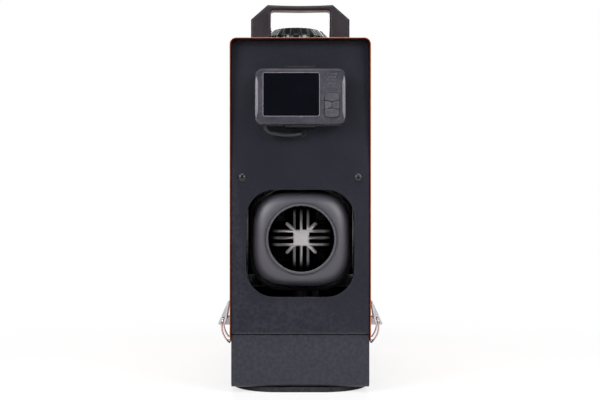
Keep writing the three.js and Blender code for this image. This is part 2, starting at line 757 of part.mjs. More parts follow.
// The ring that seals the neck's mouth and lifts with the cap.
const capSeal = () =>
  tubeZ(NECK_R + 1, NECK_BORE_R - 1, neckTop + GAP, neckTop + GAP + SEAL_THICKNESS).translate(
    NECK_X,
    NECK_DEPTH,
    0,
  );

// The screw cap: a deep ribbed cup with a broad chamfer, threaded inside.
function fuelCap() {
  const bodyR = CAP_R - CAP_RIB_HEIGHT;
  const ribs = [];
  for (let i = 0; i < CAP_RIBS; i++)
    ribs.push(
      block(bodyR - 2, CAP_R + 1, -CAP_RIB_WIDTH / 2, CAP_RIB_WIDTH / 2, capBottom, capTop - 1).rotateZ(
        (2 * Math.PI * (i + 0.5)) / CAP_RIBS,
      ),
    );
  const envelope = turnedZ(
    [
      [0, capBottom],
      [CAP_R, capBottom],
      [CAP_R, capTop - CAP_CHAMFER_HEIGHT],
      [CAP_R - CAP_CHAMFER_R, capTop],
      [0, capTop],
    ],
    CAP_RIBS * 2,
  );
  const bore = turnedZ([
    [0, capBottom - 1],
    [CAP_BORE_R, capBottom - 1],
    [CAP_BORE_R, capCeiling],
    [0, capCeiling],
  ]);
  const ribbed = common(join(rodZ(bodyR, capBottom, capTop), ...ribs), envelope);
  const thread = threadRidge(CAP_BORE_R + 0.4, CAP_BORE_R - THREAD_HEIGHT, threadStart - THREAD_PITCH / 2);
  return join(cut(ribbed, bore), thread).translate(NECK_X, NECK_DEPTH, 0);
}

// ---------------------------------------------------------------- controller
// The pieces on the leaning panel are drawn with y = 0 on its face and z = 0 at the controller's middle.
function onLeaningPanel() {
  return new THREE.Matrix4()
    .makeTranslation(0, panelFaceAt(CONTROLLER_Z), CONTROLLER_Z)
    .multiply(new THREE.Matrix4().makeRotationX(-lean));
}

const controllerBackFace = -(BRACKET_THICKNESS + 2 * GAP);
const controllerSplit = controllerBackFace - CONTROLLER_BACK_THICKNESS;
const controllerFace = controllerSplit - GAP - CONTROLLER_FRONT_THICKNESS;
const controllerOutline = (inset) =>
  roundedRect(
    0,
    0,
    CONTROLLER_WIDTH - 2 * inset,
    CONTROLLER_HEIGHT - 2 * inset,
    Math.max(CONTROLLER_CORNER_R - inset, 1),
  );
const lensBack = controllerFace + 0.4 + SCREEN_THICKNESS;
const boardFace = controllerSplit - 2;

const controllerBack = () =>
  cut(
    frontPlate(controllerOutline(0), controllerSplit, controllerBackFace),
    frontPlate(controllerOutline(CONTROLLER_WALL), controllerSplit - 1, controllerBackFace - CONTROLLER_WALL),
  );

function controllerFront() {
  const wall = CONTROLLER_WALL;
  const speaker = [];
  for (let row = 0; row < SPEAKER_ROWS; row++)
    for (let column = 0; column < 4 - (row % 2); column++)
      speaker.push(
        rodY(SPEAKER_HOLE_R, controllerFace - 1, controllerFace + wall + 1, 4).translate(
          SPEAKER_X + (column - (3 - (row % 2)) / 2) * SPEAKER_PITCH,
          0,
          SPEAKER_Z + (row - (SPEAKER_ROWS - 1) / 2) * SPEAKER_PITCH * 1.2,
        ),
      );
  return cut(
    common(
      frontPlate(controllerOutline(0), controllerFace, controllerSplit - GAP + CONTROLLER_EDGE, CONTROLLER_EDGE),
      block(-100, 100, controllerFace - 1, controllerSplit - GAP, -100, 100),
    ),
    frontPlate(controllerOutline(wall), controllerFace + wall, controllerSplit + 1),
    frontPlate(
      roundedRect(SCREEN_X, SCREEN_Z, SCREEN_WIDTH, SCREEN_HEIGHT, 2),
      controllerFace - 1,
      controllerFace + 5,
    ),
    frontPlate(
      roundedRect(KEYPAD_X, KEYPAD_Z, KEYPAD_WIDTH, KEYPAD_HEIGHT, 3.5),
      controllerFace - 1,
      controllerFace + 5,
    ),
    ...speaker,
  );
}

const controllerScreen = () =>
  frontPlate(
    roundedRect(SCREEN_X, SCREEN_Z, SCREEN_WIDTH - 2 * GAP, SCREEN_HEIGHT - 2 * GAP, 1.7),
    lensBack - SCREEN_THICKNESS,
    lensBack,
  );

// The circuit board with the display module that stands behind the screen.
const controllerBoard = () =>
  join(
    frontPlate(controllerOutline(CONTROLLER_WALL + GAP), boardFace, boardFace + BOARD_THICKNESS),
    block(
      SCREEN_X - SCREEN_WIDTH / 2 + 1,
      SCREEN_X + SCREEN_WIDTH / 2 - 1,
      lensBack + GAP,
      boardFace + 0.5,
      SCREEN_Z - SCREEN_HEIGHT / 2 + 1,
      SCREEN_Z + SCREEN_HEIGHT / 2 - 1,
    ),
  );

// Four keys share one rounded opening, parted by grooves that meet in a letter-H with V-shaped bars.
function key(which) {
  const g = KEY_GROOVE / 2;
  const [w, h] = [KEYPAD_WIDTH / 2, KEYPAD_HEIGHT / 2];
  const barZ = h - 8.2; // where the grooves meet the opening's sides
  const area = {
    up: [[-w, h], [-w, barZ + g], [0, barZ - KEY_VEE + g], [w, barZ + g], [w, h]],
    down: [[-w, -h], [w, -h], [w, -barZ - g], [0, -barZ + KEY_VEE - g], [-w, -barZ - g]],
    left: [[-w, -barZ + g], [-g, -barZ + KEY_VEE + g], [-g, barZ - KEY_VEE - g], [-w, barZ - g]],
    right: [[w, -barZ + g], [w, barZ - g], [g, barZ - KEY_VEE - g], [g, -barZ + KEY_VEE + g]],
  }[which];
  const stemAt = { up: [0, h - 4.5], down: [0, -h + 4.5], left: [-w / 2, 0], right: [w / 2, 0] }[which];
  const y0 = controllerFace - KEY_PROUD;
  const cap = common(
    frontPlate(polygon(area), y0, y0 + KEY_THICKNESS),
    frontPlate(roundedRect(0, 0, KEYPAD_WIDTH - 2 * GAP, KEYPAD_HEIGHT - 2 * GAP, 3.2), y0 - 1, y0 + 10),
  );
  const stem = rodY(KEY_STEM_R, y0 + KEY_THICKNESS - 0.5, boardFace - GAP - KEY_TRAVEL, 12);
  return join(cap, stem.translate(stemAt[0], 0, stemAt[1])).translate(KEYPAD_X, 0, KEYPAD_Z);
}

// The clip on the panel: a back plate with a tab over the controller's top edge and one under its bottom edge.
function controllerBracket() {
  const half = BRACKET_WIDTH / 2;
  const inside = CONTROLLER_HEIGHT / 2 + GAP;
  const outside = inside + BRACKET_TAB;
  const tabEnd = controllerFace + BRACKET_TAB_SHORT;
  return join(
    block(-half, half, -GAP - BRACKET_THICKNESS, -GAP, -outside, outside),
    block(-half, half, tabEnd, -GAP, inside, outside),
    block(-half, half, tabEnd, -GAP, -outside, -inside),
  );
}

// The lead leaves the controller's lower edge, hangs in a short slack loop and turns back into the panel.
const LEAD_ROUTE = [
  [-37, -LEAD_OFF_PANEL, -CONTROLLER_HEIGHT / 2 - GAP],
  [-36.6, -LEAD_OFF_PANEL, -32.5],
  [-35.2, -LEAD_OFF_PANEL, -34.9],
  [-32.8, -LEAD_OFF_PANEL, -36.7],
  [-29.8, -LEAD_OFF_PANEL, -37.8],
  [-25.6, -LEAD_OFF_PANEL, -38.6],
  [-21, -LEAD_OFF_PANEL, -39.2],
  [-16, -LEAD_OFF_PANEL, -39.6],
  [-11, -LEAD_OFF_PANEL, -39.6],
  [-6.4, -8.9, -39.3],
  [-3.1, -8.2, -38.8],
  [-0.6, -6.8, -38.1],
  [1.2, -4.8, -37.4],
  [2.2, -2.5, -36.9],
  [GROMMET_X, -0.6, GROMMET_Z],
  [GROMMET_X, 1.6, GROMMET_Z],
];

const leadGrommet = () =>
  turnedY(
    [
      [LEAD_R + GAP, -GROMMET_FLANGE - GAP],
      [GROMMET_R, -GROMMET_FLANGE - GAP],
      [GROMMET_R, -GAP],
      [GROMMET_R - GROMMET_FLANGE, -GAP],
      [GROMMET_R - GROMMET_FLANGE, SHEET + 2],
      [LEAD_R + GAP, SHEET + 2],
      [LEAD_R + GAP, -GROMMET_FLANGE - GAP],
    ],
    16,
  ).translate(GROMMET_X, 0, GROMMET_Z);

function addController() {
  const panel = new THREE.Group();
  panel.position.set(0, panelFaceAt(CONTROLLER_Z), CONTROLLER_Z);
  panel.rotation.x = -lean;
  heater.add(panel);
  piece("controller_bracket", controllerBracket(), blackPlastic, panel);
  piece("controller_back", controllerBack(), greyPlastic, panel);
  piece("controller_front", controllerFront(), greyPlastic, panel);
  piece("controller_screen", controllerScreen(), screenGlass, panel);
  piece("controller_board", controllerBoard(), circuitBoard, panel);
  for (const which of ["up", "down", "left", "right"]) piece("key_" + which, key(which), keyPlastic, panel);
  piece("lead_grommet", leadGrommet(), rubber, panel);
  piece("controller_lead", swept(smooth(LEAD_ROUTE), LEAD_R, 28), rubber, panel);
}

// ---------------------------------------------------------------- heater unit
// Its pieces are drawn about the Y axis and moved out to the heater's axis together.
const domeFront = COLLAR_DEPTH + COLLAR_LIP;
const domeBack = domeFront + DOME_LENGTH;
const casingFront = domeBack + DOME_SKIRT + GAP;
const casingBack = casingFront + CASING_LENGTH;
const casingOutline = (inset) =>
  roundedRect(0, 0, CASING_WIDTH - 2 * inset, CASING_HEIGHT - 2 * inset, CASING_CORNER_R - inset);

// A point on a squared circle, whose corners fill out as its squareness grows.
function squaredCircle(a, halfWidth, halfHeight, squareness) {
  const [c, s] = [Math.cos(a), Math.sin(a)];
  const r = (Math.abs(c) ** squareness + Math.abs(s) ** squareness) ** (-1 / squareness);
  return [r * c * halfWidth, r * s * halfHeight];
}

// The outlet hood: a round duct collar that swells into a rounded-square dome.
function outletNozzle() {
  const sides = 36;
  const domeSteps = 5;
  const ring = (y, blend, inset) =>
    Array.from({ length: sides }, (_, i) => {
      const a = (2 * Math.PI * i) / sides;
      const [sx, sz] = squaredCircle(a, DOME_HALF_WIDTH - inset, DOME_HALF_HEIGHT - inset, DOME_SQUARENESS);
      const round = COLLAR_R - inset;
      return [
        round * Math.cos(a) * (1 - blend) + sx * blend,
        y,
        round * Math.sin(a) * (1 - blend) + sz * blend,
      ];
    });
  const dome = (inset) =>
    Array.from({ length: domeSteps + 1 }, (_, i) => {
      const t = (i / domeSteps) * (Math.PI / 2);
      return ring(domeFront + inset + (DOME_LENGTH - inset) * (1 - Math.cos(t)), Math.sin(t), inset);
    });
  const back = domeBack + DOME_SKIRT;
  const hood = wallOfRings([
    ring(COLLAR_DEPTH, 0, 0),
    ...dome(0),
    ring(back, 1, 0),
    ring(back, 1, COLLAR_WALL),
    ...dome(COLLAR_WALL).reverse(),
    ring(COLLAR_DEPTH, 0, COLLAR_WALL),
  ]);
  const flange = cut(
    frontPlate(casingOutline(0), back - 2, back),
    frontPlate(casingOutline(CASING_WALL + 5), back - 3, back + 1),
  );
  return join(hood, flange);
}

function casingHalf(upper) {
  const wall = cut(
    frontPlate(casingOutline(0), casingFront, casingBack),
    frontPlate(casingOutline(CASING_WALL), casingFront - 1, casingBack + 1),
  );
  const keep = upper
    ? block(-100, 100, 0, casingBack + 5, GAP / 2, 100)
    : block(-100, 100, 0, casingBack + 5, -100, -GAP / 2);
  const half = common(wall, keep);
  if (upper) return half;
  const port = (r, y) => rodZ(r, -CASING_HEIGHT, -CASING_HEIGHT / 4).translate(0, y, 0);
  return cut(half, port(EXHAUST_R + 1, exhaustPortDepth), port(INTAKE_R + 1, INTAKE_PORT_DEPTH));
}

// The cast heat exchanger: a closed barrel round the flame, with straight fins that stand out on four sides and
// run forward past its end into a star, and a foot with the exhaust port.
function heatExchanger() {
  const parts = [
    rodY(BARREL_R, BARREL_FRONT, BARREL_BACK),
    block(-FIN_HUB / 2, FIN_HUB / 2, FIN_FACE_DEPTH, BARREL_FRONT + 1, -FIN_HUB / 2, FIN_HUB / 2),
  ];
  // One fin, reaching out to +X at a height across; the front edge is flat and then leans back.
  const fin = (offset) => {
    const isOuter = Math.abs(offset) > 1.5 * FIN_PITCH;
    const front = FIN_FACE_DEPTH + (isOuter ? FIN_STEP_BACK : 0);
    const inBarrel = Math.sqrt(Math.max(BARREL_R ** 2 - offset ** 2, 4)) - 1;
    const inner = isOuter ? Math.min(Math.abs(offset), inBarrel) : 1;
    const outline = polygon([
      [inner, front],
      [Math.max(FIN_FLAT_R, inner), front],
      [FIN_REACH, front + FIN_LEAN],
      [FIN_REACH, BARREL_BACK - 8],
      [inner, BARREL_BACK - 8],
    ]);
    return floorPlate(outline, offset - FIN_THICKNESS / 2, offset + FIN_THICKNESS / 2);
  };
  for (let side = 0; side < 4; side++)
    for (let i = -FIN_PAIRS; i <= FIN_PAIRS; i++) parts.push(fin(i * FIN_PITCH).rotateY((side * Math.PI) / 2));
  for (const angle of [Math.PI / 4, -Math.PI / 4]) {
    const half = DIAGONAL_FIN_THICKNESS / 2;
    const end = roundedRect(0, 0, 2 * DIAGONAL_FIN_R, 2 * half, half - 0.01);
    parts.push(frontPlate(end, FIN_FACE_DEPTH, BARREL_FRONT + 1).rotateY(angle));
  }
  const footTop = -BARREL_R + 6;
  const footBottom = -CASING_HEIGHT / 2 + CASING_WALL + GAP;
  parts.push(block(-18, 18, exhaustPortDepth - 20, exhaustPortDepth + 20, footBottom, footTop));
  parts.push(rodZ(EXHAUST_R, exhaustStubEnd, footTop, 16).translate(0, exhaustPortDepth, 0));
  return cut(
    join(...parts),
    rodY(BARREL_R - BARREL_WALL, BARREL_FRONT + BARREL_WALL, BARREL_BACK + 1),
    rodZ(EXHAUST_R - EXHAUST_WALL, exhaustStubEnd - 1, footTop + 5, 16).translate(0, exhaustPortDepth, 0),
    rodZ(glowPlugR + GAP, BARREL_R / 2, CASING_HEIGHT, 16).translate(0, glowPlugDepth, 0),
  );
}

const exhaustStubEnd = -CASING_HEIGHT / 2 - 12;
const glowPlugR = 5;
const glowPlugDepth = BARREL_BACK - 24;
const burnerFront = BARREL_BACK - BURNER_LENGTH;

// The flame tube, pierced by rows of holes, with a flange that closes the barrel's mouth.
function burnerTube() {
  const holes = [];
  for (let row = 0; row < BURNER_ROWS; row++)
    for (let i = 0; i < BURNER_HOLES; i++)
      holes.push(
        rodZ(2.5, BURNER_R - 6, BURNER_R + 4, 5)
          .rotateY((2 * Math.PI * (i + (row % 2) / 2)) / BURNER_HOLES)
          .translate(0, burnerFront + 14 + row * 14, 0),
      );
  const flangeR = BARREL_R - BARREL_WALL - GAP;
  return cut(
    join(
      tubeY(BURNER_R, BURNER_R - 1.5, burnerFront, BARREL_BACK - 2),
      tubeY(flangeR, BURNER_R - 12, BARREL_BACK - 5, BARREL_BACK - 2),
    ),
    rodZ(glowPlugR + GAP, BURNER_R / 2, BURNER_R + 5, 16).translate(0, glowPlugDepth, 0),
    ...holes,
  );
}

const glowPlug = () =>
  turnedZ(
    [
      [0, BURNER_R - 6],
      [glowPlugR, BURNER_R - 6],
      [glowPlugR, FIN_REACH + GAP],
      [glowPlugR + 2, FIN_REACH + GAP],
      [glowPlugR + 2, CASING_HEIGHT / 2 - CASING_WALL - GAP],
      [0, CASING_HEIGHT / 2 - CASING_WALL - GAP],
    ],
    16,
  ).translate(0, glowPlugDepth, 0);

const housingFront = BARREL_BACK + GAP;
const housingBack = housingFront + BLOWER_HOUSING_LENGTH;
const motorFront = housingBack + GAP;
const motorBack = motorFront + MOTOR_LENGTH;
const fanFront = motorBack + 5;
const fanBack = fanFront + FAN_LENGTH;
const guardFront = fanBack + 4;

// The blower housing between the burner and the motor, with lugs that reach the casing's walls, a chamber for
// the combustion wheel and the fresh-air port underneath.
function blowerHousing() {
  const lugs = [0, 1, 2, 3].map((i) => {
    const reach = (i % 2 ? CASING_HEIGHT : CASING_WIDTH) / 2 - CASING_WALL - GAP;
    return block(BLOWER_HOUSING_R - 4, reach, housingFront + 6, housingBack - 4, -8, 8).rotateY((i * Math.PI) / 2);
  });
  return cut(
    join(rodY(BLOWER_HOUSING_R, housingFront, housingBack), ...lugs),
    rodY(BLOWER_WHEEL_R + 3, housingFront + 4, housingBack + 1),
    rodY(8, housingFront - 1, housingFront + 5, 16),
    rodZ(INTAKE_R, -CASING_HEIGHT, -BLOWER_WHEEL_R + 2, 24).translate(0, INTAKE_PORT_DEPTH, 0),
  );
}

// The motor, whose front flange closes the blower chamber and carries its lugs.
const motorBody = () =>
  cut(
    join(
      tubeY(BLOWER_HOUSING_R - 2, SHAFT_R + GAP, motorFront, motorFront + 4),
      tubeY(MOTOR_R, SHAFT_R + GAP, motorFront + 3, motorBack),
    ),
    rodY(SHAFT_R + GAP, motorFront - 1, motorBack + 1, 16),
  );

const fanShaft = () => rodY(SHAFT_R, housingFront + 7, fanBack + 2, 16);

function vanedWheel(count, hubR, tipR, y0, y1, vane, discThickness) {
  const vanes = Array.from({ length: count }, (_, i) => vane().rotateY((2 * Math.PI * i) / count));
  const hub = rodY(hubR, y0, y1, 16);
  const disc = discThickness ? [rodY(tipR, y1 - discThickness, y1)] : [];
  return cut(join(hub, ...disc, ...vanes), rodY(SHAFT_R + GAP, y0 - 1, y1 + 1, 16));
}

const blowerWheel = () =>
  vanedWheel(
    BLOWER_VANES,
    8,
    BLOWER_WHEEL_R,
    housingFront + 6.5,
    housingBack - 4,
    () => block(6, BLOWER_WHEEL_R - 0.5, housingFront + 7, housingBack - 5, -0.8, 0.8),
    2,
  );

const fanWheel = () =>
  vanedWheel(
    FAN_BLADES,
    FAN_HUB_R,
    FAN_R,
    fanFront,
    fanBack,
    () =>
      block(FAN_HUB_R - 2, FAN_R, -FAN_LENGTH / 2 + 1, FAN_LENGTH / 2 - 1, -1, 1)
        .rotateX((FAN_PITCH_DEG * Math.PI) / 180)
        .translate(0, (fanFront + fanBack) / 2, 0),
    0,
  );

// The ring grille over the fan's intake, seated inside the casing's rear end.
function intakeGuard() {
  const rim = cut(
    frontPlate(casingOutline(CASING_WALL + GAP), guardFront, casingBack),
    rodY(FAN_R + 2, guardFront - 1, casingBack + 1),
  );
  const rings = Array.from({ length: GUARD_RINGS }, (_, i) => {
    const r = ((i + 1) * (FAN_R + 2)) / (GUARD_RINGS + 1);
    return tubeY(r + 1, r - 1, casingBack - 3, casingBack);
  });
  const spokes = [0, 1].map((i) =>
    block(-FAN_R - 4, FAN_R + 4, casingBack - 3, casingBack, -1.5, 1.5).rotateY((i * Math.PI) / 2),
  );
  return join(rim, ...rings, ...spokes);
}

// The electronics that sit on the motor, under the upper casing.
const controlUnit = () =>
  join(
    block(-28, 28, motorFront + 6, motorBack - 2, MOTOR_R + GAP, MOTOR_R + 12),
    block(-22, 22, motorFront + 10, motorBack - 6, MOTOR_R + 11, CASING_HEIGHT / 2 - CASING_WALL - 2 * GAP),
  );

// ---------------------------------------------------------------- inner frame and shelf
const frameHalf = panelHalf - SHEET - GAP;
const frameTop = tankBottom - GAP;

// A bridge that stands in the tray beside the heater and carries the tank on top.
const innerFrame = () =>
  join(
    block(-frameHalf, frameHalf, FRAME_DEPTH, FRAME_DEPTH + FRAME_LENGTH, frameTop - FRAME_METAL, frameTop),
    ...[-1, 1].flatMap((side) => {
      const [a, b] = [side * frameHalf, side * (frameHalf - FRAME_METAL)];
      const foot = side * (frameHalf - FRAME_FOOT);
      const base = trayFloor + GAP;
      return [
        block(Math.min(a, b), Math.max(a, b), FRAME_DEPTH, FRAME_DEPTH + FRAME_LENGTH, base, frameTop),
        block(
          Math.min(a, foot),
          Math.max(a, foot),
          FRAME_DEPTH,
          FRAME_DEPTH + FRAME_LENGTH,
          base,
          base + FRAME_METAL,
        ),
      ];
    }),
  );

// The shelf across the bridge that the heater unit is bolted down on.
function heaterShelf() {
  const half = frameHalf - FRAME_METAL - GAP;
  const top = HEATER_Z - CASING_HEIGHT / 2 - GAP;
  const port = (r, y) => rodZ(r, top - 10, top + 5, 24).translate(HEATER_X, y, 0);
  const [y0, y1] = [FRAME_DEPTH + 10, FRAME_DEPTH + FRAME_LENGTH - 10];
  return cut(
    join(
      block(-half, half, y0, y1, top - FRAME_METAL, top),
      block(-half, -half + FRAME_METAL, y0, y1, top - SHELF_FLANGE, top),
      block(half - FRAME_METAL, half, y0, y1, top - SHELF_FLANGE, top),
    ),
    port(EXHAUST_R + 3, exhaustPortDepth),
    port(INTAKE_R + 2, INTAKE_PORT_DEPTH),
    port(6, fuelPortDepth),
  );
}

// ---------------------------------------------------------------- pipes, pump and hoses
const pumpX = CASE_WIDTH / 2 - PUMP_FROM_SIDE;
const spigotX = pumpX;
const hoseSideX = (HEATER_X + CASING_WIDTH / 2 + CASE_WIDTH / 2 - SHEET) / 2; // midway between the heater and the shell
const spigotZ = tankBottom + 22;
const heaterBottom = HEATER_Z - CASING_HEIGHT / 2;
const pipeTop = HEATER_Z + exhaustStubEnd - GAP;

// A pipe that drops from a port under the heater, turns back and leaves through the tray's rear wall.
function portPipe(portX, topZ, depth, outX, endY, r, bore) {
  const route = (z0, y1) =>
    bentPath(
      [
        [portX, depth, z0],
        [portX, depth, PORT_Z],
        [portX + (outX - portX) * 0.5, depth + 50, PORT_Z],
        [outX, depth + 100, PORT_Z],
        [outX, y1, PORT_Z],
      ],
      PIPE_BEND_R,
    );
  return cut(swept(route(topZ, endY), r, PIPE_STEPS), swept(route(topZ + 1, endY + 1), bore, PIPE_STEPS));
}

const exhaustPipe = () =>
  portPipe(
    HEATER_X,
    pipeTop,
    exhaustPortDepth,
    exhaustX,
    trayBack + EXHAUST_PROUD,
    EXHAUST_R,
    EXHAUST_R - EXHAUST_WALL,
  );

const intakeHose = () =>
  portPipe(
    HEATER_X,
    heaterBottom - GAP,
    INTAKE_PORT_DEPTH,
    INTAKE_X,
    trayBack - GAP,
    INTAKE_R - GAP,
    INTAKE_R - 2.5,
  );

// A band clamp round the joint of the exhaust stub and the pipe, with its screw lug.
const exhaustClamp = () =>
  cut(
    join(
      tubeZ(EXHAUST_R + GAP + 1.2, EXHAUST_R + GAP, pipeTop - 7, pipeTop + 8, 24),
      block(EXHAUST_R, EXHAUST_R + 9, -4, 4, pipeTop - 5, pipeTop + 6),
    ),
    rodZ(EXHAUST_R + GAP, pipeTop - 20, pipeTop + 20, 24),
  ).translate(HEATER_X, exhaustPortDepth, 0);

// The cable gland that the supply lead comes in by.
const powerGland = () =>
  turnedY([
    [GLAND_BORE_R, trayBack - SHEET - 6],
    [GLAND_R * 0.7, trayBack - SHEET - 6],
    [GLAND_R * 0.7, trayBack + GAP],
    [GLAND_R * 1.15, trayBack + GAP],
    [GLAND_R * 1.15, trayBack + 5],
    [GLAND_R, trayBack + 5.5],
    [GLAND_R, trayBack + 13],
    [GLAND_R * 0.75, trayBack + 16.5],
    [GLAND_BORE_R, trayBack + 16.5],
    [GLAND_BORE_R, trayBack - SHEET - 6],
  ], 18).translate(glandX, 0, PORT_Z);

const pumpBack = PUMP_FRONT + PUMP_LENGTH;

// The dosing pump's can, with a nipple at each end and the bore that its plunger runs in.
function fuelPump() {
  const can = turnedY([
    [0, PUMP_FRONT - NIPPLE_LENGTH],
    [NIPPLE_R, PUMP_FRONT - NIPPLE_LENGTH],
    [NIPPLE_R, PUMP_FRONT - 1],
    [PUMP_R * 0.6, PUMP_FRONT],
    [PUMP_R * 0.6, PUMP_FRONT + 8],
    [PUMP_R, PUMP_FRONT + 8],
    [PUMP_R, pumpBack - 8],
    [PUMP_R * 0.6, pumpBack - 8],
    [PUMP_R * 0.6, pumpBack],
    [NIPPLE_R, pumpBack + 1],
    [NIPPLE_R, pumpBack + NIPPLE_LENGTH],
    [0, pumpBack + NIPPLE_LENGTH],
  ], 24);
  return cut(
    can,
    rodY(PLUNGER_R + GAP, PUMP_FRONT + 12, pumpBack - 12, 16),
    rodY(1, PUMP_FRONT - 15, pumpBack + 15, 8),
  ).translate(pumpX, 0, PUMP_Z);
}

const pumpPlunger = () =>
  rodY(PLUNGER_R, PUMP_FRONT + 12 + GAP, pumpBack - 12 - GAP - PLUNGER_TRAVEL, 16).translate(pumpX, 0, PUMP_Z);

// The rubber block that holds the pump off the tray.
function pumpMount() {
  const middle = (PUMP_FRONT + pumpBack) / 2;
  const ringR = PUMP_R + GAP + 4;
  return cut(
    join(
      rodY(ringR, middle - 10, middle + 10, 24).translate(pumpX, 0, PUMP_Z),
      block(pumpX - 10, pumpX + 10, middle - 10, middle + 10, trayFloor + GAP, PUMP_Z),
    ),
    rodY(PUMP_R + GAP, middle - 11, middle + 11, 24).translate(pumpX, 0, PUMP_Z),
  );
}

// The filter in the line, just ahead of the pump.
const filterBack = PUMP_FRONT - NIPPLE_LENGTH - HOSE_JOINT - NIPPLE_LENGTH;
const filterFront = filterBack - FILTER_LENGTH;
const fuelFilter = () =>
  turnedY([
    [0, filterFront - NIPPLE_LENGTH],
    [NIPPLE_R, filterFront - NIPPLE_LENGTH],
    [NIPPLE_R, filterFront],
    [FILTER_R, filterFront + 3],
    [FILTER_R, filterBack - 3],
    [NIPPLE_R, filterBack],
    [NIPPLE_R, filterBack + NIPPLE_LENGTH],
    [0, filterBack + NIPPLE_LENGTH],
  ], 16).translate(pumpX, 0, PUMP_Z);

// The three runs of fuel hose: tank to filter, filter to pump, and pump to the burner.
const hoseFromTank = () =>
  swept(
    smooth([
      [spigotX, TANK_FRONT - SPIGOT_LENGTH - GAP, spigotZ],
      [spigotX, TANK_FRONT - SPIGOT_LENGTH - 6, spigotZ],
      [spigotX + 5, TANK_FRONT - SPIGOT_LENGTH - 12, spigotZ - 8],
      [hoseSideX - 4, TANK_FRONT - 22, spigotZ - 28],
      [hoseSideX, TANK_FRONT - 18, spigotZ - 55],
      [hoseSideX + 0.3, TANK_FRONT - 12, spigotZ - 110],
      [hoseSideX, TANK_FRONT - 6, 90],
      [hoseSideX - 3, TANK_FRONT + 4, 52],
      [pumpX + 6, TANK_FRONT + 26, PUMP_Z + 2],
      [pumpX, filterFront - NIPPLE_LENGTH - 10, PUMP_Z],
      [pumpX, filterFront - NIPPLE_LENGTH - GAP, PUMP_Z],
    ]),
    HOSE_R,
    18,
    6,
  );

const hoseToPump = () =>
  rodY(HOSE_R, filterBack + NIPPLE_LENGTH + GAP, PUMP_FRONT - NIPPLE_LENGTH - GAP, 8).translate(pumpX, 0, PUMP_Z);

const hoseToBurner = () =>
  swept(
    smooth([
      [pumpX, pumpBack + NIPPLE_LENGTH + GAP, PUMP_Z],
      [pumpX, pumpBack + NIPPLE_LENGTH + 6, PUMP_Z],
      [pumpX, pumpBack + NIPPLE_LENGTH + 13, PUMP_Z + 6],
      [pumpX - 1, pumpBack + NIPPLE_LENGTH + 14, PUMP_Z + 24],
      [pumpX - 5, pumpBack + NIPPLE_LENGTH - 6, PUMP_Z + 46],
      [HEATER_X + 32, INTAKE_PORT_DEPTH + 40, heaterBottom - HOSE_BELOW_HEATER],
      [HEATER_X + 26, INTAKE_PORT_DEPTH + 6, heaterBottom - HOSE_BELOW_HEATER - 1],
      [HEATER_X + 16, fuelPortDepth + 12, heaterBottom - HOSE_BELOW_HEATER + 1],
      [HEATER_X + 5, fuelPortDepth + 2, heaterBottom - HOSE_BELOW_HEATER + 5],
      [HEATER_X, fuelPortDepth, heaterBottom - 8],
      [HEATER_X, fuelPortDepth, heaterBottom - GAP],
    ]),
    HOSE_R,
    16,
    6,
  );

// ---------------------------------------------------------------- toggle latches
// Drawn for the right-hand side: x runs out from the shell's side and y from the latch's middle.
function latchBracket() {
  const earIn = LATCH_EAR_SPAN / 2;
  const ear = new THREE.Shape();
  const earBottom = LATCH_PIN_Z - LATCH_EAR_R;
  ear.moveTo(GAP, earBottom);
  ear.lineTo(LATCH_PIN_X, earBottom).absarc(LATCH_PIN_X, LATCH_PIN_Z, LATCH_EAR_R, -Math.PI / 2, Math.PI / 2, false);
  ear.lineTo(GAP, LATCH_PIN_Z + 8);
  const pinReach = earIn + 2 * LATCH_METAL + LATCH_PLAY + 0.4;
  const rivet = (z) =>
    new THREE.SphereGeometry(2.6, 8, 4).scale(0.45, 1, 1).translate(GAP + LATCH_METAL, 0, z);
  return join(
    block(GAP, GAP + LATCH_METAL, -earIn - LATCH_METAL, earIn + LATCH_METAL, LATCH_PIN_Z - 8, LATCH_PIN_Z + 15),
    frontPlate(ear, -earIn - LATCH_METAL, -earIn),
    frontPlate(ear, earIn, earIn + LATCH_METAL),
    rodY(LATCH_PIN_R, -pinReach, pinReach, 12).translate(LATCH_PIN_X, 0, LATCH_PIN_Z),
    rivet(LATCH_PIN_Z + 9),
    rivet(LATCH_PIN_Z - 4),
  );
}

// The lever: a channel whose web runs from its tip down to the outer foot, with cheeks outside the ears.
function latchLever() {
  const cheekIn = LATCH_EAR_SPAN / 2 + LATCH_METAL + LATCH_PLAY;
  const cheekOut = cheekIn + LATCH_METAL;
  const cheek = polygon([
    [LEVER_TIP_X, LEVER_TIP_Z],
    [LEVER_TIP_X - 0.6, LEVER_TIP_Z - 3],
    [BAIL_PIVOT_X - 3.4, BAIL_PIVOT_Z - 1.5],
    [LATCH_PIN_X - 2.4, LATCH_PIN_Z - 2.4],
    [LATCH_PIN_X + 2.2, LATCH_PIN_Z - 2.6],
    [LEVER_FOOT_X, LEVER_FOOT_Z],
  ]);
  const run = new THREE.Vector2(LEVER_FOOT_X - LEVER_TIP_X, LEVER_FOOT_Z - LEVER_TIP_Z).normalize();
  const inward = new THREE.Vector2(run.y, -run.x).multiplyScalar(LATCH_METAL);
  const web = polygon([
    [LEVER_TIP_X, LEVER_TIP_Z],
    [LEVER_FOOT_X, LEVER_FOOT_Z],
    [LEVER_FOOT_X + inward.x, LEVER_FOOT_Z + inward.y],
    [LEVER_TIP_X + inward.x, LEVER_TIP_Z + inward.y],
  ]);
  const holes = [
    rodY(LATCH_PIN_R + GAP, -30, 30, 12).translate(LATCH_PIN_X, 0, LATCH_PIN_Z),
    rodY(BAIL_R + GAP, -30, 30, 12).translate(BAIL_PIVOT_X, 0, BAIL_PIVOT_Z),
  ];
  return cut(
    join(
      frontPlate(web, -cheekOut, cheekOut),
      frontPlate(cheek, cheekIn, cheekOut),
      frontPlate(cheek, -cheekOut, -cheekIn),
    ),
    ...holes,
  );
}

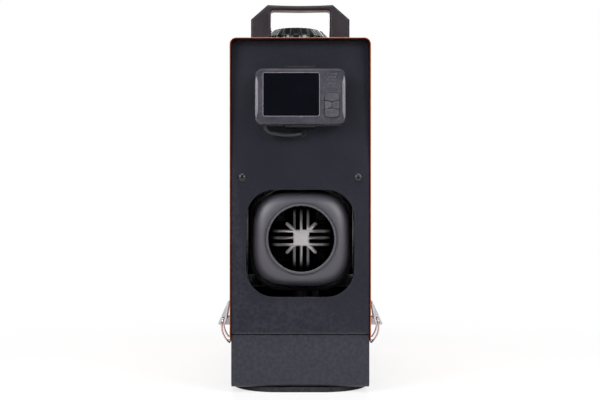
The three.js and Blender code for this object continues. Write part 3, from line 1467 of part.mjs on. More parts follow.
// The bail: one wire bent from a pivot end down to the hook bar and back up.
function latchBail() {
  const cheekIn = LATCH_EAR_SPAN / 2 + LATCH_METAL + LATCH_PLAY;
  const side = cheekIn + LATCH_METAL + LATCH_PLAY + BAIL_R + BAIL_SPARE;
  const bulge = [
    [BAIL_PIVOT_X + 1.6, BAIL_PIVOT_Z - 7],
    [BAIL_PIVOT_X + 1.4, BAIL_PIVOT_Z - 13],
    [BAIL_PIVOT_X - 0.6, BAIL_PIVOT_Z - 19],
    [BAIL_BAR_X + 2.2, BAIL_BAR_Z + 2.2],
  ];
  const leg = (s) => [
    [BAIL_PIVOT_X, s * (cheekIn + 0.2), BAIL_PIVOT_Z],
    [BAIL_PIVOT_X, s * (side - 1.4), BAIL_PIVOT_Z],
    [BAIL_PIVOT_X + 0.3, s * side, BAIL_PIVOT_Z - 1.6],
    ...bulge.map(([x, z]) => [x, s * side, z]),
    [BAIL_BAR_X + 0.4, s * (side - 0.4), BAIL_BAR_Z + 0.4],
    [BAIL_BAR_X, s * (side - 2.4), BAIL_BAR_Z],
  ];
  return swept(smooth([...leg(-1), ...leg(1).reverse()]), BAIL_R, 32, 6);
}

// The catch on the tray that the bail's bar pulls up under.
function latchCatch() {
  const face = panelHalf - CASE_WIDTH / 2 + GAP;
  const top = BAIL_BAR_Z + BAIL_R + CATCH_CLEARANCE + LATCH_METAL;
  const half = LATCH_EAR_SPAN / 2;
  return join(
    block(face, face + LATCH_METAL, -half, half, top - CATCH_HEIGHT, top),
    block(face, CATCH_REACH, -half, half, top - LATCH_METAL, top),
  );
}

function addLatch(name, side) {
  const latch = new THREE.Group();
  latch.position.set((side * CASE_WIDTH) / 2, LATCH_DEPTH, 0);
  latch.scale.x = side;
  heater.add(latch);
  piece("latch_bracket_" + name, latchBracket(), zincSteel, latch);
  piece("latch_lever_" + name, latchLever(), brightSteel, latch);
  piece("latch_bail_" + name, latchBail(), brightSteel, latch);
  piece("latch_catch_" + name, latchCatch(), zincSteel, latch);
}

// ---------------------------------------------------------------- assembly
piece("shell", shell(), orangePaint);
piece("front_panel", frontPanel(), blackPaint);
piece("rear_panel", rearPanel(), blackPaint);
piece("base_tray", baseTray(), blackPaint);
piece("foot_plate", footPlate(), rubber);
piece("panel_crossbar", crossbar(), zincSteel);
for (const [name, side] of [["left", -1], ["right", 1]]) {
  piece("panel_screw_" + name, buttonScrew(), blackSteel).position.set(
    side * panelScrewX,
    panelFace,
    PANEL_SCREW_Z,
  );
  piece("handle_bolt_" + name, handleBolt(), zincSteel).position.set(side * handleLegX, HANDLE_DEPTH, 0);
}
piece("handle", handle(), blackPlastic);
piece("fuel_tank", fuelTank(), tankPlastic);
piece("neck_gasket", neckGasket(), rubber);
piece("cap_seal", capSeal(), rubber);
piece("fuel_cap", fuelCap(), blackPlastic);
addController();

const unit = new THREE.Group();
unit.position.set(HEATER_X, 0, HEATER_Z);
heater.add(unit);
piece("outlet_nozzle", outletNozzle(), greyPlastic, unit);
piece("casing_upper", casingHalf(true), blackPlastic, unit);
piece("casing_lower", casingHalf(false), blackPlastic, unit);
piece("heat_exchanger", heatExchanger(), castAluminium, unit);
piece("burner_tube", burnerTube(), stainless, unit);
piece("glow_plug", glowPlug(), stainless, unit);
piece("blower_housing", blowerHousing(), castAluminium, unit);
piece("blower_wheel", blowerWheel(), blackPlastic, unit);
piece("motor_body", motorBody(), zincSteel, unit);
piece("fan_shaft", fanShaft(), brightSteel, unit);
piece("fan_wheel", fanWheel(), blackPlastic, unit);
piece("intake_guard", intakeGuard(), blackPlastic, unit);
piece("control_unit", controlUnit(), blackPlastic, unit);

piece("inner_frame", innerFrame(), zincSteel);
piece("heater_shelf", heaterShelf(), zincSteel);
piece("exhaust_pipe", exhaustPipe(), stainless);
piece("exhaust_clamp", exhaustClamp(), zincSteel);
piece("intake_hose", intakeHose(), rubber);
piece("power_gland", powerGland(), blackPlastic);
piece("fuel_pump", fuelPump(), zincSteel);
piece("pump_plunger", pumpPlunger(), brassMetal);
piece("pump_mount", pumpMount(), rubber);
piece("fuel_filter", fuelFilter(), greyPlastic);
piece("hose_from_tank", hoseFromTank(), rubber);
piece("hose_to_pump", hoseToPump(), rubber);
piece("hose_to_burner", hoseToBurner(), rubber);
addLatch("left", -1);
addLatch("right", 1);

// The origin lies on the floor under the middle of the whole machine.
const reach = new THREE.Box3().setFromObject(heater);
heater.position.y = -(reach.min.y + reach.max.y) / 2;

const machine = new THREE.Group();
machine.name = "diesel_air_heater";
machine.add(heater);
export default machine;
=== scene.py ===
# Portable diesel air heater: an orange folded case on a black tray, with a black front panel, a round
# duct outlet, a clip-on controller, a screw cap, a carrying handle and a toggle latch on each side.
import json
import math
import bmesh
import bpy
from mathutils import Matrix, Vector


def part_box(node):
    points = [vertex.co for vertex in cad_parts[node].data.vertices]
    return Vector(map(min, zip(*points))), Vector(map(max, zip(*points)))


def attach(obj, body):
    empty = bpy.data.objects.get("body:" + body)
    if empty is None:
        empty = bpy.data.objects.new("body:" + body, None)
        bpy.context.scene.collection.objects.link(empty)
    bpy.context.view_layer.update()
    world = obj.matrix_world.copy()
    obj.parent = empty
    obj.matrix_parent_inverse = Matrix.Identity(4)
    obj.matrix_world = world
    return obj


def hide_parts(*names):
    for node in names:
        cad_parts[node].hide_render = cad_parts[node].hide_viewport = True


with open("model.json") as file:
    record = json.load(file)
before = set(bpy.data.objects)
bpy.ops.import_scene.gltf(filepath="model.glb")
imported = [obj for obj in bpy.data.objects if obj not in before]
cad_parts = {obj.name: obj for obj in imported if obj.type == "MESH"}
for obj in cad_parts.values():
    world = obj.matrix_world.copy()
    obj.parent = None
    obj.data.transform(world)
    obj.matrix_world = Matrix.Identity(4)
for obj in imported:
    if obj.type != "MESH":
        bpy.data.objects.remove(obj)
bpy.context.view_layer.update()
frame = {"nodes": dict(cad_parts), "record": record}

# ---- camera -----------------------------------------------------------------------------------------
# A level studio view straight at the front, from 1.15 m before the case's front rim. The eye line lies
# a little under half the machine's height.
CASE_FRONT = -0.195109
EYE_DISTANCE = 1.15
EYE_HEIGHT = 0.2046
EYE_ASIDE = -0.0003
eye = bpy.data.cameras.new("camera")
eye.sensor_width = 36
eye.lens = 65.1
camera = bpy.data.objects.new("camera", eye)
camera.location = (EYE_ASIDE, CASE_FRONT - EYE_DISTANCE, EYE_HEIGHT)
camera.rotation_euler = (math.pi / 2, 0, 0)
bpy.context.collection.objects.link(camera)
bpy.context.scene.camera = camera

# ---- controller lead --------------------------------------------------------------------------------
# The round rubber-sheathed lead that leaves the controller's lower edge, hangs in one short slack loop
# and turns back through a grommet in the front panel. A short tapered sleeve guards it at the controller.
LEAD_RADIUS = 0.002
LEAD_ROUTE = [
    (-0.03700, -0.19942, 0.28294), (-0.03660, -0.19962, 0.28024), (-0.03520, -0.19979, 0.27785),
    (-0.03280, -0.19992, 0.27606), (-0.02980, -0.20000, 0.27496), (-0.02560, -0.20006, 0.27416),
    (-0.02100, -0.20010, 0.27356), (-0.01600, -0.20013, 0.27316), (-0.01100, -0.20013, 0.27316),
    (-0.00640, -0.20001, 0.27346), (-0.00310, -0.19928, 0.27390), (-0.00060, -0.19783, 0.27450),
    (0.00120, -0.19578, 0.27505), (0.00220, -0.19345, 0.27538), (0.00250, -0.19154, 0.27554),
    (0.00250, -0.18934, 0.27538),
]


def body_for(node):
    return next(b for b, held in frame["record"]["behaviour"]["bodies"].items() if node in held)


def as_object(name, mesh, material):
    piece = bpy.data.objects.new(name, mesh)
    bpy.context.collection.objects.link(piece)
    mesh.materials.clear()
    mesh.materials.append(material)
    return piece


def stands_for(piece, *nodes):
    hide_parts(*nodes)
    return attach(piece, body_for(nodes[0]))


def mesh_of(name, points, faces, smooth_under=35):
    mesh = bpy.data.meshes.new(name)
    mesh.from_pydata([tuple(p) for p in points], [], faces)
    work = bmesh.new()
    work.from_mesh(mesh)
    bmesh.ops.remove_doubles(work, verts=work.verts, dist=1e-7)
    bmesh.ops.recalc_face_normals(work, faces=work.faces)
    work.to_mesh(mesh)
    work.free()
    mesh.shade_smooth()
    mesh.set_sharp_from_angle(angle=math.radians(smooth_under))
    return mesh


def smooth_line(points, steps):
    line = []
    knots = [Vector(p) for p in points]
    for i in range(len(knots) - 1):
        before, a, b, after = knots[max(i - 1, 0)], knots[i], knots[i + 1], knots[min(i + 2, len(knots) - 1)]
        for k in range(steps):
            t = k / steps
            line.append(
                0.5 * (2 * a + (b - before) * t + (2 * before - 5 * a + 4 * b - after) * t * t
                       + (3 * a - before - 3 * b + after) * t ** 3)
            )
    return line + [knots[-1]]


def tube_along(line, radii, sides):
    points, faces = [], []
    side = Vector((0, 1, 0))
    for i, at in enumerate(line):
        along = (line[min(i + 1, len(line) - 1)] - line[max(i - 1, 0)]).normalized()
        side = (side - along * side.dot(along)).normalized()
        up = along.cross(side)
        for k in range(sides):
            a = 2 * math.pi * k / sides
            points.append(at + (side * math.cos(a) + up * math.sin(a)) * radii[i])
    for i in range(len(line) - 1):
        for k in range(sides):
            n = (k + 1) % sides
            faces.append((i * sides + k, i * sides + n, (i + 1) * sides + n, (i + 1) * sides + k))
    last = (len(line) - 1) * sides
    return points, faces + [tuple(range(sides)), tuple(range(last, last + sides))]


def node_group(name, inputs, outputs):
    """An empty shader group; inputs are (name, socket kind, value)."""
    group = bpy.data.node_groups.new(name, "ShaderNodeTree")
    for label, kind, value in inputs:
        socket = group.interface.new_socket(label, in_out="INPUT", socket_type="NodeSocket" + kind)
        if value is not None:
            socket.default_value = value
    for label, kind in outputs:
        group.interface.new_socket(label, in_out="OUTPUT", socket_type="NodeSocket" + kind)
    return group, group.nodes.new("NodeGroupInput"), group.nodes.new("NodeGroupOutput")


def put(tree, kind, links=(), **settings):
    """One node with its settings; links are (socket, source or value)."""
    node = tree.nodes.new(kind)
    for key, value in settings.items():
        setattr(node, key, value)
    for socket, source in links:
        if isinstance(source, bpy.types.NodeSocket):
            tree.links.new(source, node.inputs[socket])
        else:
            node.inputs[socket].default_value = source
    return node


# Moulded or sprayed skin: fine pimples over broad soft unevenness.
skin, skin_in, skin_out = node_group(
    "skin",
    [("Vector", "Vector", None), ("Grain Size", "Float", 0.0006), ("Patch Size", "Float", 0.05)],
    [("Height", "Float"), ("Patches", "Float"), ("Grain", "Float")],
)
fine = put(skin, "ShaderNodeMath", [(0, 1.0), (1, skin_in.outputs["Grain Size"])], operation="DIVIDE")
broad = put(skin, "ShaderNodeMath", [(0, 1.0), (1, skin_in.outputs["Patch Size"])], operation="DIVIDE")
pimples = put(skin, "ShaderNodeTexNoise", [("Vector", skin_in.outputs["Vector"]), ("Scale", fine.outputs[0]),
                                           ("Detail", 3.0), ("Roughness", 0.6)])
patches = put(skin, "ShaderNodeTexNoise", [("Vector", skin_in.outputs["Vector"]),
                                           ("Scale", broad.outputs[0]),
                                           ("Detail", 4.0), ("Roughness", 0.55)])
both = put(skin, "ShaderNodeMath", [(0, patches.outputs[0]), (1, 0.25), (2, pimples.outputs[0])],
           operation="MULTIPLY_ADD")
skin.links.new(both.outputs[0], skin_out.inputs["Height"])
skin.links.new(patches.outputs[0], skin_out.inputs["Patches"])
skin.links.new(pimples.outputs[0], skin_out.inputs["Grain"])

# Dust that settles on upward faces, in uneven drifts.
dust, dust_in, dust_out = node_group(
    "dust",
    [("Vector", "Vector", None), ("Normal", "Vector", None), ("Amount", "Float", 0.3)],
    [("Mask", "Float")],
)
facing = put(dust, "ShaderNodeSeparateXYZ", [(0, dust_in.outputs["Normal"])])
upward = put(dust, "ShaderNodeMapRange", [(0, facing.outputs["Z"]), (1, 0.35), (2, 1.0)])
drift = put(dust, "ShaderNodeTexNoise", [("Vector", dust_in.outputs["Vector"]), ("Scale", 90.0),
                                         ("Detail", 6.0)])
drifts = put(dust, "ShaderNodeMapRange", [(0, drift.outputs[0]), (1, 0.42), (2, 0.72)])
laid = put(dust, "ShaderNodeMath", [(0, upward.outputs[0]), (1, drifts.outputs[0])], operation="MULTIPLY")
share = put(dust, "ShaderNodeMath", [(0, laid.outputs[0]), (1, dust_in.outputs["Amount"])],
            operation="MULTIPLY")
dust.links.new(share.outputs[0], dust_out.inputs["Mask"])

# Corners rubbed smoother and paler, where the skin stands proud.
rub, rub_in, rub_out = node_group(
    "rubbed_edges",
    [("Pointiness", "Float", 0.5), ("Vector", "Vector", None), ("Amount", "Float", 0.5)],
    [("Mask", "Float")],
)
proud = put(rub, "ShaderNodeMapRange", [(0, rub_in.outputs["Pointiness"]), (1, 0.515), (2, 0.58)])
broken = put(rub, "ShaderNodeTexNoise", [("Vector", rub_in.outputs["Vector"]), ("Scale", 260.0),
                                         ("Detail", 5.0)])
torn = put(rub, "ShaderNodeMapRange", [(0, broken.outputs[0]), (1, 0.35), (2, 0.65)])
rubbed = put(rub, "ShaderNodeMath", [(0, proud.outputs[0]), (1, torn.outputs[0])], operation="MULTIPLY")
amount = put(rub, "ShaderNodeMath", [(0, rubbed.outputs[0]), (1, rub_in.outputs["Amount"])],
             operation="MULTIPLY")
rub.links.new(amount.outputs[0], rub_out.inputs["Mask"])


def linear(code):
    """A colour written as on screen, 0 to 255, in Blender's own scale."""
    return tuple((c / 255 / 12.92) if c <= 10 else ((c / 255 + 0.055) / 1.055) ** 2.4 for c in code) + (1.0,)


def finish_of(name, colour, patch_colour, worn_colour, roughness, grain=0.0006, patch=0.05, bump=0.15,
              depth=0.0001, metallic=0.0, dusty=0.25, worn=0.3, coat=0.0, specular=0.5):
    """A material with its own skin, dust and rubbed edges; roughness is (smooth, rough)."""
    material = bpy.data.materials.new(name)
    material.use_nodes = True
    tree = material.node_tree
    shader = tree.nodes["Principled BSDF"]
    place = put(tree, "ShaderNodeTexCoord").outputs
    geometry = put(tree, "ShaderNodeNewGeometry").outputs
    grained = put(tree, "ShaderNodeGroup", node_tree=skin)
    dusted = put(tree, "ShaderNodeGroup", node_tree=dust)
    edged = put(tree, "ShaderNodeGroup", node_tree=rub)
    for group in (grained, dusted, edged):
        tree.links.new(place["Object"], group.inputs["Vector"])
    tree.links.new(place["Normal"], dusted.inputs["Normal"])
    tree.links.new(geometry["Pointiness"], edged.inputs["Pointiness"])
    grained.inputs["Grain Size"].default_value = grain
    grained.inputs["Patch Size"].default_value = patch
    dusted.inputs["Amount"].default_value = dusty
    edged.inputs["Amount"].default_value = worn
    uneven = put(tree, "ShaderNodeMapRange", [(0, grained.outputs["Patches"]), (1, 0.38), (2, 0.66)])
    base = put(tree, "ShaderNodeMix", [(0, uneven.outputs[0]), (6, linear(colour)),
                                       (7, linear(patch_colour))],
               data_type="RGBA")
    speck = put(tree, "ShaderNodeMapRange", [(0, grained.outputs["Grain"]), (1, 0.3), (2, 0.7), (3, 0.9),
                                             (4, 1.1)])
    toned = put(tree, "ShaderNodeVectorMath", [(0, base.outputs[2]), (3, speck.outputs[0])],
                operation="SCALE")
    edge = put(tree, "ShaderNodeMix", [(0, edged.outputs["Mask"]), (6, toned.outputs[0]),
                                       (7, linear(worn_colour))],
               data_type="RGBA")
    dirt = put(tree, "ShaderNodeMix", [(0, dusted.outputs["Mask"]), (6, edge.outputs[2]),
                                       (7, linear((168, 164, 158)))],
               data_type="RGBA")
    tree.links.new(dirt.outputs[2], shader.inputs["Base Color"])
    gloss = put(tree, "ShaderNodeMapRange", [(0, grained.outputs["Patches"]), (1, 0.35), (2, 0.65),
                                             (3, roughness[0]), (4, roughness[1])])
    dull = put(tree, "ShaderNodeMath", [(0, dusted.outputs["Mask"]), (1, 0.5), (2, gloss.outputs[0])],
               operation="MULTIPLY_ADD")
    tree.links.new(dull.outputs[0], shader.inputs["Roughness"])
    relief = put(tree, "ShaderNodeBump", [("Strength", bump), ("Distance", depth),
                                          ("Height", grained.outputs["Height"])])
    tree.links.new(relief.outputs[0], shader.inputs["Normal"])
    shader.inputs["Metallic"].default_value = metallic
    shader.inputs["Coat Weight"].default_value = coat
    shader.inputs["Coat Roughness"].default_value = 0.12
    shader.inputs["Specular IOR Level"].default_value = specular
    return material


lead_rubber = finish_of("lead_rubber", (30, 30, 33), (38, 38, 41), (70, 70, 74), (0.38, 0.55), 0.0004, 0.01)
lead_line = smooth_line(LEAD_ROUTE, 6)
lead_points, lead_faces = tube_along(lead_line, [LEAD_RADIUS] * len(lead_line), 20)
lead = as_object("controller_lead_sheath", mesh_of("controller_lead_sheath", lead_points, lead_faces),
                 lead_rubber)
stands_for(lead, "controller_lead")

# A moulded sleeve that tapers from the controller's edge onto the lead, held by the controller's halves.
SLEEVE_LENGTH = 0.0045
sleeve_line = [lead_line[0] + (lead_line[3] - lead_line[0]).normalized() * (SLEEVE_LENGTH * k / 8)
               for k in range(9)]
sleeve_radii = [LEAD_RADIUS * (1.42 - 0.32 * k / 8 - (0.1 if k in (2, 4, 6) else 0)) for k in range(9)]
sleeve_points, sleeve_faces = tube_along(sleeve_line, sleeve_radii, 24)
sleeve = as_object("lead_sleeve", mesh_of("lead_sleeve", sleeve_points, sleeve_faces, 50), lead_rubber)
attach(sleeve, "case")

# ---- base tray and foot -----------------------------------------------------------------------------
# The pressed steel tray that closes the case below, with turned-up walls, powder-coated satin black,
# on a rubber foot plate with rounded plan corners.
def finished(node, material, edge, name=None, sharp=28, segments=2):
    """The CAD solid as a clean mesh with its sharp edges eased."""
    mesh = frame["nodes"][node].data.copy()
    work = bmesh.new()
    work.from_mesh(mesh)
    bmesh.ops.remove_doubles(work, verts=work.verts, dist=2e-6)
    if edge:
        bmesh.ops.dissolve_limit(work, angle_limit=math.radians(0.6), verts=work.verts, edges=work.edges)
    for face in work.faces:
        face.smooth = True
    work.to_mesh(mesh)
    work.free()
    piece = as_object(name or node + "_finished", mesh, material)
    if edge:
        eased = piece.modifiers.new("eased_edge", "BEVEL")
        eased.width = edge
        eased.segments = segments
        eased.limit_method = "ANGLE"
        eased.angle_limit = math.radians(sharp)
        eased.use_clamp_overlap = False
    flats = piece.modifiers.new("even_flats", "WEIGHTED_NORMAL")
    flats.keep_sharp = True
    if not edge:
        mesh.set_sharp_from_angle(angle=math.radians(sharp))
    return stands_for(settled(piece), node)


def settled(piece):
    """The piece with its modifiers made part of its mesh."""
    bpy.context.view_layer.update()
    graph = bpy.context.evaluated_depsgraph_get()
    mesh = bpy.data.meshes.new_from_object(piece.evaluated_get(graph), preserve_all_data_layers=True,
                                           depsgraph=graph)
    piece.modifiers.clear()
    piece.data = mesh
    return piece


black_coat = finish_of("black_powder_coat", (31, 31, 40), (35, 35, 45), (70, 69, 78), (0.4, 0.48), 0.0005,
                       0.09,
                       0.1, 0.00006, dusty=0.12, worn=0.25, specular=0.18)
tray_coat = finish_of("tray_powder_coat", (42, 42, 51), (45, 45, 54), (80, 79, 88), (0.36, 0.42), 0.0005,
                      0.09,
                      0.04, 0.00004, dusty=0.12, worn=0.3, specular=0.3)
foot_rubber = finish_of("foot_rubber", (24, 24, 27), (40, 39, 42), (96, 92, 90), (0.62, 0.85), 0.0012, 0.003,
                        0.5, 0.0003, dusty=0.1, worn=0.6, specular=0.25)
finished("base_tray", tray_coat, 0.0004)
finished("foot_plate", foot_rubber, 0.0007, segments=3)

# ---- heater unit ------------------------------------------------------------------------------------
# A cast aluminium burner with radial fins inside a plastic air casing. The fan at the back drives air
# along the fins and out of the round duct collar at the front.
cast_metal = finish_of("as_cast_aluminium", (226, 220, 222), (214, 208, 210), (236, 232, 232), (0.42, 0.52),
                       0.0005, 0.02, 0.25, 0.0001, metallic=0.55, dusty=0.0, worn=0.3)
finished("heat_exchanger", cast_metal, 0)

# Behind their machined front edges the fins are painted darker with depth into the outlet, from full colour
# to black in a few millimetres: painted shade deep inside the duct.
FIN_SHADE_START = -0.1608
FIN_SHADE_FULL = -0.1540
tree = cast_metal.node_tree
spot = put(tree, "ShaderNodeSeparateXYZ", [(0, put(tree, "ShaderNodeTexCoord").outputs["Object"])])
shade_depth = put(tree, "ShaderNodeMapRange", [(0, spot.outputs["Y"]), (1, FIN_SHADE_START), (2, FIN_SHADE_FULL)])
shader = tree.nodes["Principled BSDF"]
# Painted shade: the fins' colour is mixed towards black the deeper they sit in the outlet.
painted_depth_shade = put(tree, "ShaderNodeMix", [(0, shade_depth.outputs[0]),
                                       (6, shader.inputs["Base Color"].links[0].from_socket),
                                       (7, linear((26, 24, 25)))], data_type="RGBA")
tree.links.new(painted_depth_shade.outputs[2], shader.inputs["Base Color"])

casing_plastic = finish_of("casing_plastic", (16, 16, 19), (20, 20, 23), (46, 46, 50), (0.45, 0.6), 0.0007,
                           0.03,
                           specular=0.25)
bright_tube = finish_of("drawn_stainless", (168, 165, 156), (188, 184, 172), (205, 203, 196), (0.24, 0.4),
                        0.0005, 0.02, 0.12, 0.00005, metallic=1.0, dusty=0.1)
zinc_plate = finish_of("zinc_plate", (190, 193, 197), (176, 180, 185), (216, 218, 220), (0.26, 0.4),
                       0.0009, 0.012, 0.05, 0.00003, metallic=1.0, dusty=0.15, worn=0.4)
turned_steel = finish_of("turned_steel", (200, 202, 205), (184, 187, 192), (225, 226, 228), (0.16, 0.3),
                         0.0004, 0.01, 0.1, 0.00003, metallic=1.0, dusty=0.05)
hose_rubber = finish_of("hose_rubber", (26, 26, 28), (34, 34, 36), (60, 60, 62), (0.5, 0.7), 0.0005, 0.012,
                        0.25)
for node in ("casing_upper", "casing_lower", "blower_wheel", "fan_wheel", "intake_guard", "control_unit"):
    finished(node, casing_plastic, 0.0003)
for node in ("burner_tube", "glow_plug"):
    finished(node, bright_tube, 0)
finished("blower_housing", cast_metal, 0.0004)
for node in ("motor_body", "inner_frame", "heater_shelf", "exhaust_clamp", "panel_crossbar",
             "handle_bolt_left",
             "handle_bolt_right", "fuel_pump"):
    finished(node, zinc_plate, 0.0002)
finished("fan_shaft", turned_steel, 0)
finished("exhaust_pipe", bright_tube, 0, sharp=40)
for node in ("intake_hose", "hose_from_tank", "hose_to_pump", "hose_to_burner", "pump_mount"):
    finished(node, hose_rubber, 0, sharp=40)
finished("power_gland", casing_plastic, 0.0003, sharp=25)
filter_plastic = finish_of("filter_plastic", (150, 150, 146), (132, 132, 130), (178, 178, 174), (0.3, 0.45),
                           0.0005)
finished("fuel_filter", filter_plastic, 0.0003)
turned_brass = finish_of("turned_brass", (188, 148, 70), (172, 132, 58), (214, 180, 110), (0.2, 0.35),
                         0.0004,
                         0.008, 0.1, 0.00004, metallic=1.0)
finished("pump_plunger", turned_brass, 0.0002)

# The duct outlet: one moulding, whose squarish dome rounds into a plain collar for the 75 mm ducting.
# It clips onto the casing behind the front panel's window.
HEATER_AXIS = Vector((0.001, 0, 0.1632))
COLLAR_RADIUS = 0.0376
COLLAR_WALL = 0.0024
COLLAR_MOUTH = -0.193109
DOME_HALF = (0.053, 0.0515)
DOME_LENGTH = 0.016
DOME_SKIRT = 0.023
DOME_START = COLLAR_MOUTH + 0.003
DOME_SQUARENESS = 3.2
nozzle_plastic = finish_of("nozzle_plastic", (58, 56, 65), (64, 62, 71), (100, 98, 106), (0.44, 0.5), 0.0005,
                           0.04,
                           0.14, 0.00008, dusty=0.08, worn=0.25, specular=0.9)


def nozzle_ring(y, blend, inset, sides=120):
    ring = []
    for i in range(sides):
        a = 2 * math.pi * i / sides
        c, s = math.cos(a), math.sin(a)
        stretch = (abs(c) ** DOME_SQUARENESS + abs(s) ** DOME_SQUARENESS) ** (-1 / DOME_SQUARENESS)
        squarish = ((DOME_HALF[0] - inset) * c * stretch, (DOME_HALF[1] - inset) * s * stretch)
        around = COLLAR_RADIUS - inset
        ring.append(HEATER_AXIS + Vector((around * c * (1 - blend) + squarish[0] * blend, y,
                                          around * s * (1 - blend) + squarish[1] * blend)))
    return ring


def nozzle_dome(inset, steps=14):
    return [
        nozzle_ring(DOME_START + inset + (DOME_LENGTH - inset) * (1 - math.cos(k / steps * math.pi / 2)),
                    math.sin(k / steps * math.pi / 2), inset)
        for k in range(steps + 1)
    ]


def loft(rings):
    """Faces round closed rings of points, the last joined to the first."""
    points = [p for ring in rings for p in ring]
    sides = len(rings[0])
    faces = []
    for r in range(len(rings)):
        n = (r + 1) % len(rings)
        for k in range(sides):
            m = (k + 1) % sides
            faces.append((r * sides + k, r * sides + m, n * sides + m, n * sides + k))
    return points, faces


lip = 0.0005
GROOVE = 0.0009
skirt_back = DOME_START + DOME_LENGTH + DOME_SKIRT
hood_points, hood_faces = loft(
    [nozzle_ring(COLLAR_MOUTH, 0, lip), nozzle_ring(COLLAR_MOUTH + lip, 0, 0)]
    + [nozzle_ring(DOME_START + GROOVE, 0, 0), nozzle_ring(DOME_START + GROOVE, 0, -GROOVE)]
    + [nozzle_ring(DOME_START + lip / 2, 0, -GROOVE)]
    + nozzle_dome(0)[1:]
    + [nozzle_ring(skirt_back, 1, 0), nozzle_ring(skirt_back, 1, COLLAR_WALL)]
    + nozzle_dome(COLLAR_WALL)[::-1]
    + [nozzle_ring(COLLAR_MOUTH + lip, 0, COLLAR_WALL), nozzle_ring(COLLAR_MOUTH, 0, COLLAR_WALL - lip)]
)
nozzle = as_object("outlet_nozzle_hood", mesh_of("outlet_nozzle_hood", hood_points, hood_faces),
                   nozzle_plastic)
stands_for(nozzle, "outlet_nozzle")

# ---- case -------------------------------------------------------------------------------------------
# A shell of 1.2 mm steel folded over the top and both sides, powder-coated orange; a black front panel
# that leans back above its fold, and a slotted black rear panel for the fan's air.
orange_coat = finish_of("orange_powder_coat", (236, 110, 40), (229, 103, 35), (242, 166, 116), (0.44, 0.54),
                        0.0006,
                        0.08, 0.14, 0.0001, dusty=0.04, worn=0.25, specular=0.35)
finished("shell", orange_coat, 0.0003)

# Painted shade: past the sheet's outer skin, on its cut edges and inner faces, the orange is mixed to a dark
# brown that stands in for the shade inside the case.
SHELL_CORNER = 0.007
ORANGE_SKIN_DEPTH = 0.0003
INNER_SHADE_FADE = 0.0002
shell_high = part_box("shell")[1]
tree = orange_coat.node_tree
spot = put(tree, "ShaderNodeSeparateXYZ", [(0, put(tree, "ShaderNodeTexCoord").outputs["Object"])])
aside = put(tree, "ShaderNodeMath", [(0, spot.outputs["X"])], operation="ABSOLUTE")
past_side = put(tree, "ShaderNodeMath", [(0, aside.outputs[0]), (1, shell_high.x - SHELL_CORNER)],
                operation="SUBTRACT")
past_top = put(tree, "ShaderNodeMath", [(0, spot.outputs["Z"]), (1, shell_high.z - SHELL_CORNER)],
               operation="SUBTRACT")
to_corner = put(tree, "ShaderNodeCombineXYZ", [(0, past_side.outputs[0]), (1, past_top.outputs[0])])
beyond = put(tree, "ShaderNodeVectorMath", [(0, to_corner.outputs[0]), (1, (0, 0, 0))], operation="MAXIMUM")
radius = put(tree, "ShaderNodeVectorMath", [(0, beyond.outputs[0])], operation="LENGTH")
inside = put(tree, "ShaderNodeMapRange", [(0, radius.outputs["Value"]), (1, SHELL_CORNER - ORANGE_SKIN_DEPTH),
                                          (2, SHELL_CORNER - ORANGE_SKIN_DEPTH - INNER_SHADE_FADE)])
shader = tree.nodes["Principled BSDF"]
# Painted shade: dark brown on the shell's edges and inner faces.
painted_inner_shade = put(tree, "ShaderNodeMix", [(0, inside.outputs[0]),
                                     (6, shader.inputs["Base Color"].links[0].from_socket),
                                     (7, linear((62, 30, 20)))], data_type="RGBA")
tree.links.new(painted_inner_shade.outputs[2], shader.inputs["Base Color"])
finished("front_panel", black_coat, 0.0006, sharp=20, segments=3)
finished("rear_panel", black_coat, 0.0003, sharp=20)

# The front panel's lower edge is turned over in a narrow hem, which catches the light above the seam.
HEM_RADIUS = 0.0007
panel_low, panel_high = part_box("front_panel")
hem_half = panel_high.x - 0.0010
hem_line = [Vector((hem_half * k / 12, panel_low.y + HEM_RADIUS - 0.0003, panel_low.z + HEM_RADIUS + 0.0001))
            for k in range(-12, 13)]
hem_points, hem_faces = tube_along(hem_line, [HEM_RADIUS * (0.4 if k in (0, 24) else 1) for k in range(25)],
                                   20)
hem = as_object("front_panel_hem", mesh_of("front_panel_hem", hem_points, hem_faces, 50), tray_coat)
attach(hem, "case")

# ---- panel screws -----------------------------------------------------------------------------------
# Two blackened M5 button-head screws with hexagon sockets, at the ends of the cross bar behind the fold.
SCREW_HEAD_RADIUS = 0.0045
SCREW_HEAD_HEIGHT = 0.0024
SOCKET_RADIUS = 0.0017


def tree_with(name, inputs):
    """An empty geometry tree; inputs are (name, socket kind, value)."""
    tree = bpy.data.node_groups.new(name, "GeometryNodeTree")
    tree.interface.new_socket("Geometry", in_out="INPUT", socket_type="NodeSocketGeometry")
    for label, kind, value in inputs:
        socket = tree.interface.new_socket(label, in_out="INPUT", socket_type="NodeSocket" + kind)
        if value is not None:
            socket.default_value = value
    tree.interface.new_socket("Geometry", in_out="OUTPUT", socket_type="NodeSocketGeometry")
    return tree, tree.nodes.new("NodeGroupInput").outputs, tree.nodes.new("NodeGroupOutput")


def close_tree(tree, geometry, given, end):
    """Realize Instances and Set Material, as the last steps."""
    real = put(tree, "GeometryNodeRealizeInstances", [("Geometry", geometry)])
    painted = put(tree, "GeometryNodeSetMaterial",
                  [("Geometry", real.outputs[0]), ("Material", given["Material"])])
    tree.links.new(painted.outputs[0], end.inputs[0])


